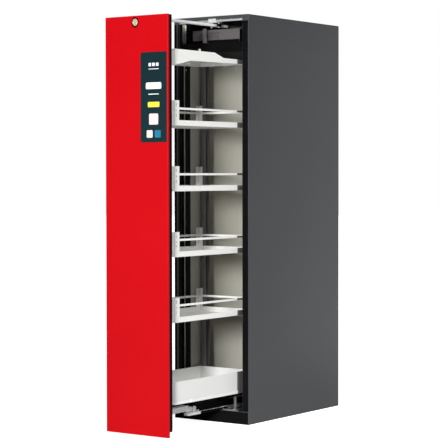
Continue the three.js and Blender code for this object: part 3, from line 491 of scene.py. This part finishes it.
def settle(piece, name):
    """The piece with its modifiers applied, as a new object with a plain mesh."""
    bpy.context.view_layer.update()
    evaluated = piece.evaluated_get(bpy.context.evaluated_depsgraph_get())
    mesh = bpy.data.meshes.new_from_object(evaluated)
    made = bpy.data.objects.new(name, mesh)
    bpy.context.scene.collection.objects.link(made)
    bpy.data.objects.remove(piece)
    return made


# %% [markdown]
# ## Rounded edges
# Three radii do for most pieces: a fine one for cut strips and boards, a middle one for sheet, and a larger one for
# folds and soft parts. The bevel takes only edges over the crease angle, so a turned part keeps its smooth sides.

# %% Rounded edges
fine_edge, sheet_edge, fold_edge = 0.4 * mm, 0.5 * mm, 0.6 * mm
crease = math.radians(32)
smooth_angle = math.radians(44)


def rounded(name, mesh, edge, steps=2):
    """An object whose sharp edges have a small radius."""
    raw = bpy.data.objects.new(name + "_raw", mesh)
    bpy.context.scene.collection.objects.link(raw)
    bevel = raw.modifiers.new("edge", "BEVEL")
    bevel.width = edge
    bevel.segments = steps
    bevel.limit_method = "ANGLE"
    bevel.angle_limit = crease
    bevel.use_clamp_overlap = True
    mesh.shade_smooth()
    mesh.set_sharp_from_angle(angle=smooth_angle)
    weighted = raw.modifiers.new("flat_faces", "WEIGHTED_NORMAL")
    weighted.keep_sharp = True
    return settle(raw, name)


print("edges in mm:", [round(edge / mm, 2) for edge in (fine_edge, sheet_edge, fold_edge)])

# %% [markdown]
# ## Dressing a node
# Most pieces need no more than a rounded copy in the finish of their slot. Some have two finishes. At its rear end the
# trays' outer right side is grey-brown, a painted shade cast by the housing's right side. The slides are black further
# in, a painted shade under the drawer.

# %% Dressing
# Right of this, the rear end of a tray's side takes a painted shade.
outer_side = 120 * mm


def dress(node, edge, finish_slot=None, rear=None, rear_slot="cover_paint", side=outer_side, finish=None):
    """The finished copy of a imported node. Behind a depth, what lies right of side has the finish of another slot."""
    slot = finish_slot or slot_of[node]
    mesh = merged_copy(node, rear, side)
    mesh.materials.append(finish or finishes[slot])
    if rear is not None:
        mesh.materials.append(finishes[rear_slot])
    piece = rounded(node + "_finished", mesh, edge)
    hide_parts(node)
    return keep(piece, body_of[node])


def dress_all(names, edge, **more):
    """Several nodes with one edge radius."""
    made = [dress(name, edge, **more) for name in names]
    print("finished:", ", ".join(piece.name for piece in made))
    return made


def brick(name, low, high, edge, slot, body):
    """A strip or plate between two corners in millimetres, its edges broken."""
    shape = bmesh.new()
    bmesh.ops.create_cube(shape, size=1.0)
    for vert in shape.verts:
        vert.co = Vector([(start + (part + 0.5) * (stop - start)) * mm
                          for start, stop, part in zip(low, high, vert.co)])
    mesh = bpy.data.meshes.new(name)
    shape.to_mesh(mesh)
    shape.free()
    mesh.materials.append(finishes[slot])
    return keep(rounded(name, mesh, edge, steps=1), body)


print("dressing:", len(nodes), "nodes wait for their finish")

# %% [markdown]
# ## Turned parts and rounded plates
# A screw or a roller is a profile turned round an axis. A label film is a flat outline with round corners, and a lock
# ring is a plate between two ovals. All are built as closed shells, so that they also export as solids.

# %% Turned and flat shapes


def lathe(shape, profile, sides, matrix=Matrix.Identity(4)):
    """Adds a closed body of revolution about Z: its profile runs from one point on the axis to another."""
    rings = []
    for radius, height in profile:
        count = 1 if radius == 0 else sides
        turn = 2 * math.pi / sides
        rings.append([shape.verts.new(matrix @ Vector((radius * math.cos(turn * step), radius * math.sin(turn * step),
                                                       height))) for step in range(count)])
    for low, high in zip(rings, rings[1:]):
        for step in range(sides):
            after = (step + 1) % sides
            corners = [low[step % len(low)], low[after % len(low)], high[after % len(high)], high[step % len(high)]]
            unique = list(dict.fromkeys(corners))
            if len(unique) > 2:
                shape.faces.new(unique)


def closed_mesh(name, shape):
    """A mesh from a shape, its faces turned outwards."""
    bmesh.ops.recalc_face_normals(shape, faces=shape.faces)
    mesh = bpy.data.meshes.new(name)
    shape.to_mesh(mesh)
    shape.free()
    return mesh


def round_outline(centre, size, radius, steps=5):
    """The points of a rectangle with round corners in X and Z."""
    points = []
    for corner, (side, up) in enumerate(((1, 1), (-1, 1), (-1, -1), (1, -1))):
        middle_x = centre[0] + side * (size[0] / 2 - radius)
        middle_z = centre[1] + up * (size[1] / 2 - radius)
        for step in range(steps + 1):
            turn = math.pi / 2 * (corner + step / steps)
            points.append((middle_x + radius * math.cos(turn), middle_z + radius * math.sin(turn)))
    return points


def plate_between(shape, outer, front, back, inner=None):
    """Adds a flat plate in X and Z, from its outline, with a hole where an inner outline has as many points."""
    loops = [[shape.verts.new(Vector((x, y, z)) * mm) for x, z in outline]
             for outline in ([outer] if inner is None else [outer, inner]) for y in (front, back)]
    count = len(outer)
    for step in range(count):
        after = (step + 1) % count
        shape.faces.new((loops[0][step], loops[0][after], loops[1][after], loops[1][step]))
        if inner is not None:
            shape.faces.new((loops[2][step], loops[2][after], loops[3][after], loops[3][step]))
            shape.faces.new((loops[0][step], loops[0][after], loops[2][after], loops[2][step]))
            shape.faces.new((loops[1][step], loops[1][after], loops[3][after], loops[3][step]))
    if inner is None:
        shape.faces.new(loops[0])
        shape.faces.new(loops[1])


def oval(centre, half_width, half_height, count=48):
    """The points of an oval in X and Z."""
    return [(centre[0] + half_width * math.cos(2 * math.pi * step / count),
             centre[1] + half_height * math.sin(2 * math.pi * step / count)) for step in range(count)]


print("a square with round corners has", len(round_outline((0, 0), (1, 1), 0.1)), "points")

# %% [markdown]
# ## A Geometry Nodes tree for what repeats
# A cabinet has dozens of equal screws, rivets and bearing balls. One tree puts a fitting on every point of a mesh,
# turns its axis to the way the row faces, and gives each one its own turn from a fixed seed, as a screwdriver leaves
# them. The fitting comes in as an object, and the tree ends with real, painted faces.

# %% Row of fittings
row_tree = bpy.data.node_groups.new("Row of fittings", "GeometryNodeTree")
for row_label, row_kind in (("Geometry", "Geometry"), ("Fitting", "Object"), ("Facing", "Vector"), ("Size", "Float"),
                            ("Most turn", "Float"), ("Turn seed", "Int"), ("Finish", "Material")):
    row_tree.interface.new_socket(row_label, in_out="INPUT", socket_type="NodeSocket" + row_kind)
row_tree.interface.new_socket("Geometry", in_out="OUTPUT", socket_type="NodeSocketGeometry")
row_in = add_node(row_tree, "NodeGroupInput", (-1000, 0))
row_out = add_node(row_tree, "NodeGroupOutput", (800, 0))
row_points = add_node(row_tree, "GeometryNodeMeshToPoints", (-700, 300))
row_part = add_node(row_tree, "GeometryNodeObjectInfo", (-700, 0))
row_aim = add_node(row_tree, "FunctionNodeAlignRotationToVector", (-700, -250), axis="Z")
row_turn = add_node(row_tree, "FunctionNodeRandomValue", (-700, -450), data_type="FLOAT")
row_spin = add_node(row_tree, "FunctionNodeAxisAngleToRotation", (-450, -450))
row_both = add_node(row_tree, "FunctionNodeRotateRotation", (-250, -250), rotation_space="LOCAL")
row_place = add_node(row_tree, "GeometryNodeInstanceOnPoints", (0, 0))
row_real = add_node(row_tree, "GeometryNodeRealizeInstances", (300, 0))
row_paint = add_node(row_tree, "GeometryNodeSetMaterial", (550, 0))
turn_high = [socket for socket in row_turn.inputs if socket.name == "Max" and socket.type == "VALUE"][0]
turn_value = [socket for socket in row_turn.outputs if socket.type == "VALUE"][0]
for source, target in (
        (row_in.outputs["Geometry"], row_points.inputs["Mesh"]), (row_in.outputs["Fitting"], row_part.inputs["Object"]),
        (row_in.outputs["Facing"], row_aim.inputs["Vector"]), (row_in.outputs["Most turn"], turn_high),
        (row_in.outputs["Turn seed"], row_turn.inputs["Seed"]), (turn_value, row_spin.inputs["Angle"]),
        (row_aim.outputs["Rotation"], row_both.inputs["Rotation"]),
        (row_spin.outputs["Rotation"], row_both.inputs["Rotate By"]),
        (row_points.outputs["Points"], row_place.inputs["Points"]),
        (row_part.outputs["Geometry"], row_place.inputs["Instance"]),
        (row_both.outputs["Rotation"], row_place.inputs["Rotation"]),
        (row_in.outputs["Size"], row_place.inputs["Scale"]),
        (row_place.outputs["Instances"], row_real.inputs["Geometry"]),
        (row_real.outputs["Geometry"], row_paint.inputs["Geometry"]),
        (row_in.outputs["Finish"], row_paint.inputs["Material"]),
        (row_paint.outputs["Geometry"], row_out.inputs["Geometry"])):
    row_tree.links.new(source, target)
row_sockets = {item.name: item.identifier for item in row_tree.interface.items_tree if item.in_out == "INPUT"}
print("row tree:", len(row_tree.nodes), "nodes")

# %% [markdown]
# ## Fittings and their rows
# A pan-head screw, a rivet and a ball are each a turned profile with a few dozen faces, drawn with its seat at zero.
# A modifier's inputs are set by the identifiers of the tree's sockets, before anything evaluates the object.

# %% Fittings
fitting_angle = math.radians(40)
to_front, to_back, to_top, to_right, to_left = (0, -1, 0), (0, 1, 0), (0, 0, 1), (1, 0, 0), (-1, 0, 0)


def fitting(name, profile, sides):
    """A fitting for a row: a turned part in millimetres, its axis on Z and its seat at zero."""
    shape = bmesh.new()
    lathe(shape, [(radius * mm, height * mm) for radius, height in profile], sides)
    part = bpy.data.objects.new(name, closed_mesh(name, shape))
    part.data.shade_smooth()
    part.data.set_sharp_from_angle(angle=fitting_angle)
    return part


def row(name, part, points, facing, body, slot, most_turn=math.pi, seed=3):
    """One piece: a fitting on each point, given in millimetres."""
    mesh = bpy.data.meshes.new(name + "_points")
    mesh.from_pydata([Vector(point) * mm for point in points], [], [])
    raw = bpy.data.objects.new(name + "_raw", mesh)
    bpy.context.scene.collection.objects.link(raw)
    nodes_step = raw.modifiers.new("row", "NODES")
    nodes_step.node_group = row_tree
    for label, value in (("Fitting", part), ("Facing", facing), ("Size", 1.0), ("Most turn", most_turn),
                         ("Turn seed", seed), ("Finish", finishes[slot])):
        nodes_step[row_sockets[label]] = value
    piece = settle(raw, name)
    print(name, len(points), "fittings,", len(piece.data.polygons), "faces")
    return keep(piece, body)


pan_screw = fitting("pan_screw", [(0, -0.2), (4.6, -0.2), (4.6, 0.4), (3.9, 1.15), (2.2, 1.4), (1.9, 1.4), (1.7, 0.5),
                                  (0, 0.5)], 12)
small_rivet = fitting("small_rivet", [(0, -0.2), (3.0, -0.2), (2.9, 0.2), (2.0, 0.7), (0, 0.85)], 10)
bearing_ball = fitting("bearing_ball", [(0, -2.2), (1.7, -1.5), (2.2, 0), (1.7, 0.9), (0, 1.0)], 8)
print("fittings:", pan_screw.name, small_rivet.name, bearing_ball.name)

# %% [markdown]
# ## Housing sheets
# The side panels, the top and the back are folded from sheet and powder coated before they are screwed together.
# A fold in thin sheet has an outer radius of about its thickness, and a sheared edge is barely broken, so one small
# radius suits both.

# %% Housing
housing_names = ["side_panel_left", "side_panel_right", "top_panel", "back_panel", "base_plinth"]
for sheet in dress_all(housing_names, sheet_edge):
    if sheet.name.startswith("side_panel_right"):
        rim_receivers.objects.link(sheet)

# %% [markdown]
# ## Screws of the housing
# The back and the top are screwed on in even rows near their edges. The two outer columns of the back lie 1.6 mm too
# deep, inside the rear folds of the side panels, so they don't show. A later version has to bring them forward.

# %% Housing screws
edge_column = 205
back_face, top_face = 411.4, 1966.2
back_points = [(side * edge_column, back_face, 90 + 230 * step) for side in (-1, 1) for step in range(9)]
back_points += [(x, back_face, z) for x in (-110, 0, 110) for z in (78, 1946)]
top_points = [(side * edge_column, -380 + 190 * step, top_face) for side in (-1, 1) for step in range(5)]
row("back_panel_screws", pan_screw, back_points, to_back, "cabinet", "zinc")
row("top_panel_screws", pan_screw, top_points, to_top, "cabinet", "zinc")

# %% [markdown]
# ## Boards, seals and floor
# The boards are cut square and edge-banded, so their corners are nearly sharp. The seals are soft extrusions and
# take a larger radius. The walls and the back join the collections of the lamps here: one lamp lights nothing else,
# and the other one spares them.

# %% Boards and seals
board_names = ["fire_board_left", "fire_board_right", "fire_board_back", "fire_board_floor", "fire_board_ceiling",
               "door_liner", "exhaust_duct"]
for board in dress_all(board_names, fine_edge):
    if board.name.startswith(("fire_board_left", "fire_board_right", "fire_board_back")):
        board_receivers.objects.link(board)
        side_receivers.objects.link(board)
for receiver in side_receivers.collection_objects:
    receiver.light_linking.link_state = "EXCLUDE"
dress_all(["opening_seal"], fold_edge)
dress_all(["door_gasket"], edge=2.5 * mm)

# %% [markdown]
# ## Black seals and painted shade round the opening
# Each is a black film a few tenths of a millimetre thick, so it stays clear of the gasket of the closed front. The
# strips on the flanges and on the front edge of the ceiling board stand for a black seal, and they also paint the shade
# that the pulled-out front casts on them. The films on the lower edge of the cover, over and under the ceiling board,
# on the left wall and round the left edge of the opening are painted shade. They darken the space of the closing
# mechanism and the left of the opening, where little light reaches. The film on the plinth makes its front black.

# %% Black seals and painted shade
strip_face = -413.35
facing_edge = 0.08 * mm
seals_and_painted_shade = {
    # Black seal strips on the flanges, which also paint the shade of the pulled-out front.
    "flange_strip_right": ((188.0, strip_face, 62.0), (220.0, -413.0, 1936.0)),
    "flange_strip_left_outer": ((-220.0, strip_face, 62.0), (-206.0, -413.0, 1936.0)),
    "flange_strip_left_inner": ((-196.0, strip_face, 62.0), (-188.0, -413.0, 1936.0)),
    "ceiling_front_facing": ((-186.6, -400.95, 1789.8), (186.6, -400.7, 1840.25)),
    # Painted shade: the cover's lower edge, the mechanism space, the left wall and the left edge of the opening.
    "cover_lower_lip": ((-139.5, -368.5, 1840.6), (139.5, -368.0, 1854.9)),
    "wall_facing_left": ((-155.5, -367.0, 1840.3), (-155.2, 346.0, 1946.0)),
    "ceiling_upper_facing": ((-186.4, -400.4, 1840.0), (186.4, -367.3, 1840.2)),
    "ceiling_rear_facing": ((-155.0, -367.2, 1840.0), (155.0, 346.0, 1840.2)),
    "ceiling_under_facing": ((-155.0, -367.28, 1789.75), (155.0, 279.0, 1790.0)),
    "board_front_facing_left": ((-200.0, -400.95, 62.0), (-187.0, -400.7, 1936.0)),
    "step_facing_left": ((-181.0, -367.3, 1840.3), (-155.3, -367.0, 1946.0)),
    "reveal_facing_left": ((-187.0, -400.7, 1840.3), (-186.8, -390.0, 1946.0)),
    "reveal_facing_low": ((-186.7, -400.7, 62.5), (-186.5, -379.0, 1787.5)),
    "return_facing_left": ((-187.0, -412.6, 62.5), (-186.8, -401.0, 1936.0)),
    # The plinth's front is black.
    "plinth_facing": ((-218.5, strip_face, 1.0), (218.5, -413.0, 59.0)),
}
for facing_name, (facing_low, facing_high) in seals_and_painted_shade.items():
    brick(facing_name, facing_low, facing_high, facing_edge, "door_core", "cabinet")
print("facings:", len(seals_and_painted_shade))

# %% [markdown]
# ## The front
# The red skin is a shallow pan folded round a black core, which shows as a dark line behind it. The label plate is
# thin pressed sheet, so its edges are almost sharp.

# %% Door
dress_all(["door_skin"], fold_edge)
dress_all(["door_core"], edge=1.0 * mm)
dress_all(["label_plate"], edge=0.2 * mm)

# %% [markdown]
# ## Label patches
# The plate carries plain coloured patches with round corners. A picture on the plate could show them, but it needs
# texture coordinates and blurs up close. A thin film of real faces for each colour stays crisp at any size.

# %% Label patches
patch_front, patch_back = -995.5, -995.3
patch_brighter = 1.06
patches = {
    "label_patch_white": ((0.78, 0.79, 0.78), [((101, 1604), (88, 30), 6), ((80, 1700), (15, 15), 2),
                                               ((101, 1700), (15, 15), 2), ((122, 1700), (15, 15), 2),
                                               ((101, 1566), (60, 4), 1.5), ((101, 1680), (58, 3), 1.2)]),
    "label_patch_yellow": ((0.80, 0.62, 0.05), [((101, 1519), (66, 24), 4)]),
    "label_patch_pale": ((0.74, 0.60, 0.58), [((101, 1453), (52, 50), 6), ((78, 1386), (34, 34), 5)]),
    "label_patch_blue": ((0.02, 0.16, 0.27), [((124, 1386), (34, 34), 5)]),
}
for patch_name, (patch_tone, patch_shapes) in patches.items():
    patch_shape = bmesh.new()
    for patch_centre, patch_size, patch_radius in patch_shapes:
        plate_between(patch_shape, round_outline(patch_centre, patch_size, patch_radius), patch_front, patch_back)
    patch_mesh = closed_mesh(patch_name, patch_shape)
    patch_mesh.materials.append(coat(patch_name + "_film", patch_tone, [part * patch_brighter for part in patch_tone],
                                     (0.32, 0.4), grain=1400.0, relief=0.01 * mm, specular=0.3))
    patch = bpy.data.objects.new(patch_name, patch_mesh)
    bpy.context.scene.collection.objects.link(patch)
    keep(patch, "pullout")
print("label patches:", len(patches))

# %% [markdown]
# ## Lock
# The lock is a turned plug with a keyway. A boolean cuts the keyway before the edges are rounded, so that its rim is
# rounded too. Round the plug lie the brass escutcheon, a thin brass collar and a dark oval rosette.

# %% Lock plug
lock_centre = (-5.0, 1895.5)
keyway_middle, keyway_size = (lock_centre[0], -997.0, lock_centre[1]), (2.4, 4.0, 10.0)

keyway_shape = bmesh.new()
bmesh.ops.create_cube(keyway_shape, size=1.0)
for vert in keyway_shape.verts:
    vert.co = Vector([middle + size * part for middle, size, part in zip(keyway_middle, keyway_size, vert.co)]) * mm
keyway = bpy.data.objects.new("keyway", closed_mesh("keyway", keyway_shape))
bpy.context.scene.collection.objects.link(keyway)
plug_raw = bpy.data.objects.new("lock_plug_raw", merged_copy("lock_plug"))
plug_raw.data.materials.append(finishes["brass"])
bpy.context.scene.collection.objects.link(plug_raw)
plug_cut = plug_raw.modifiers.new("keyway", "BOOLEAN")
plug_cut.operation = "DIFFERENCE"
plug_cut.object = keyway
plug_slotted = settle(plug_raw, "lock_plug_slotted")
bpy.data.objects.remove(keyway)
lock_plug = rounded("lock_plug_finished", plug_slotted.data.copy(), edge=0.3 * mm)
bpy.data.objects.remove(plug_slotted)
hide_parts("lock_plug")
keep(lock_plug, "lock")
print("lock:", len(lock_plug.data.polygons), "faces with its keyway")

# %% Lock rings
ring_back = -994.2
ring_edge = 0.35 * mm
rings = {
    "lock_collar": ((14.2, 16.6), (13.4, 13.4), -995.9, "brass"),
    "lock_rosette": ((20.0, 24.5), (14.4, 16.8), -995.3, "door_core"),
}
dress("lock_escutcheon", edge=1.0 * mm, finish_slot="brass")
for ring_name, (ring_outer, ring_inner, ring_front, ring_slot) in rings.items():
    ring_shape = bmesh.new()
    plate_between(ring_shape, oval(lock_centre, *ring_outer), ring_front, ring_back, oval(lock_centre, *ring_inner))
    ring_mesh = closed_mesh(ring_name, ring_shape)
    ring_mesh.materials.append(finishes[ring_slot])
    keep(rounded(ring_name, ring_mesh, ring_edge), "pullout")
print("rings:", ", ".join(rings))

# %% [markdown]
# ## Fixings of the front
# Pan-head screws hold the liner to the front's rear face. They stay out of sight in the closed cabinet.

# %% Liner screws
liner_points = [(side * 140, -935.0, 190 + 250 * step) for side in (-1, 1) for step in range(7)]
row("liner_screws", pan_screw, liner_points, to_back, "pullout", "zinc")

# %% [markdown]
# ## The pull-out frame and its trays
# The front posts are zinc-plated channels, slotted for the tray hooks. The rear posts take the grey-brown paint of the
# cover, which paints the shade they stand in. The carrier, the trays and their guard rails are coated off-white. The
# sump takes a darker copy of that white, which paints the shade on it. On the outer right side, the last hundred
# millimetres take the grey-brown paint too, a painted shade that the housing's right side casts into the opening. The
# mesh is cut at that depth, so the border is straight.

# %% Pull-out frame
rear_shade_from = -403.0 * mm
stop_cap_end = -713.0 * mm
whole_width = -1.0

dress_all(["post_front_left", "post_front_right"], fine_edge)
# The rear posts' grey-brown is painted shade.
dress_all(["post_rear_left", "post_rear_right"], fine_edge, finish_slot="cover_paint")
# Behind the given depth, the outer right side of each piece takes grey-brown, a painted shade.
dress_all(["top_carrier", "drawer_chassis"], fold_edge, rear=rear_shade_from)
dress("sump_tray", fold_edge, rear=rear_shade_from, finish=sump_shaded_paint)
dress_all([name for name in nodes if name.startswith(("tray_", "guard_rail_"))], sheet_edge, rear=rear_shade_from)
dress("carrier_stop", edge=0.8 * mm, finish_slot="door_core", rear=stop_cap_end, rear_slot="nylon", side=whole_width)

# %% [markdown]
# ## Rivets of the carrier
# A line of low rivet heads runs along each side of the carrier, coated with it. All have one height, which suits the
# deep front of the carrier alone. The four behind it hang 9 to 17 mm below the edge, and have to follow it in a later
# version.

# %% Carrier rivets
rivet_depths = (-885, -790, -600, -505, -410)
for side_name, side_x, side_facing in (("right", 150.0, to_right), ("left", -150.0, to_left)):
    row("carrier_rivets_" + side_name, small_rivet, [(side_x, y, 1712) for y in rivet_depths], side_facing, "pullout",
        "tray_paint")

# %% [markdown]
# ## Slides and guides
# The floor slides are rolled channels. What shows of them under the drawer has two finishes. A lighter copy of the zinc
# on their front ends paints the light that falls there, and black further in paints the shade under the drawer. The
# floor rails, the sill and the guide post take a darker copy of the zinc, which paints the shade low in the opening.
# The top guide rail takes the lighter copy, a painted light, and the light strip takes a half-dark one, a painted
# shade. The guide rollers are moulded, so their rims are generously rounded.

# %% Slides and guides
# Behind these depths the slides take black, a painted shade under the drawer; their fronts take the lighter zinc, a
# painted light.
middle_shade_from, drawer_shade_from = -590 * mm, -690 * mm

# A darker zinc here paints the shade low in the opening.
dress_all(["floor_rail_left", "floor_rail_right", "sill_strip", "guide_post"], fine_edge, finish=shaded_zinc)
dress_all(["middle_rail_left", "middle_rail_right"], sheet_edge, rear=middle_shade_from, rear_slot="door_core",
          side=whole_width, finish=lit_zinc)
dress_all(["drawer_rail_left", "drawer_rail_right"], sheet_edge, rear=drawer_shade_from, rear_slot="door_core",
          side=whole_width, finish=lit_zinc)
# The top guide rail takes the lighter zinc, a painted light.
dress_all(["top_guide_rail"], fine_edge, finish=lit_zinc)
dress_all(["guide_bracket"], fine_edge)
# The light strip's half-dark zinc is painted shade.
dress_all(["top_strip"], fine_edge, finish=half_shaded_zinc)
dress_all(["strike_plate"], fine_edge, finish_slot="cover_paint")
dress_all(["guide_roller_left", "guide_roller_right"], edge=0.8 * mm)
dress_all(["mechanism_cover", "closer_drum"], fine_edge)

# %% [markdown]
# ## Balls and run-in rollers
# A row of balls sits in the outer groove of each middle member, at an even pitch. Two nylon run-in rollers stand
# beside the right drawer rail. They are turned shapes with a dished hub, laid on their side.

# %% Balls and run-in rollers
ball_seat, ball_start, ball_pitch, ball_height, ball_count = 65.9, -676, 12, 76, 48
roller_face, roller_depths, roller_height, roller_sides = 70.3, (-684.0, -652.0), 98.0, 28
roller_profile = [(0, 0), (11, 0), (12, 0.8), (12, 5.2), (11, 6), (5, 6), (4.5, 4.5), (2.5, 4.5), (2.2, 6.2), (0, 6.4)]

for side_name, side_sign in (("left", -1), ("right", 1)):
    ball_points = [(side_sign * ball_seat, ball_start + ball_pitch * step, ball_height) for step in range(ball_count)]
    row("slide_balls_" + side_name, bearing_ball, ball_points, (side_sign, 0, 0), "middle_members", "zinc")
roller_shape = bmesh.new()
for roller_depth in roller_depths:
    roller_seat = Matrix.Translation(Vector((roller_face, roller_depth, roller_height)) * mm)
    lathe(roller_shape, [(radius * mm, height * mm) for radius, height in roller_profile], roller_sides,
          roller_seat @ Matrix.Rotation(math.pi / 2, 4, "Y"))
roller_mesh = closed_mesh("run_in_rollers", roller_shape)
roller_mesh.materials.append(finishes["nylon"])
keep(rounded("run_in_rollers", roller_mesh, edge=0.3 * mm, steps=1), "pullout")
print("run-in rollers:", len(roller_depths))

# %% [markdown]
# ## Screws round the opening
# The cover, the bracket, the threshold and the light strip are each held by a few screws. Those of the cover are
# coated with it, and the others are bright. Two rows wait for a mend: the threshold's screws stand 5 mm too high, two
# of them in the middle rails, and those of the light strip reach up into the front fold of the top sheet.

# %% Screws round the opening
row("cover_screws", pan_screw, [(x, -368.1, z) for x in (-130, 130) for z in (1860, 1898)], to_front, "cabinet",
    "cover_paint")
row("bracket_screws", pan_screw, [(x, -416.4, 1945) for x in (-2, 22)], to_front, "cabinet", "zinc")
row("sill_screws", pan_screw, [(-130 + 65 * step, -406, 67.1) for step in range(5)], to_top, "cabinet", "zinc")
row("top_strip_screws", pan_screw, [(x, -411.3, 1949) for x in (-175, -110, -50, 60, 118, 177)], to_front, "cabinet",
    "zinc")

# %% [markdown]
# ## Spigots and feet
# The spigots are rolled tube and the feet are turned and moulded, so the radius of a fold suits them all.

# %% Spigots and feet
dress_all(["exhaust_spigot", "supply_spigot"], fold_edge)
dress_all([name for name in nodes if name.startswith("levelling_foot_")], fold_edge)
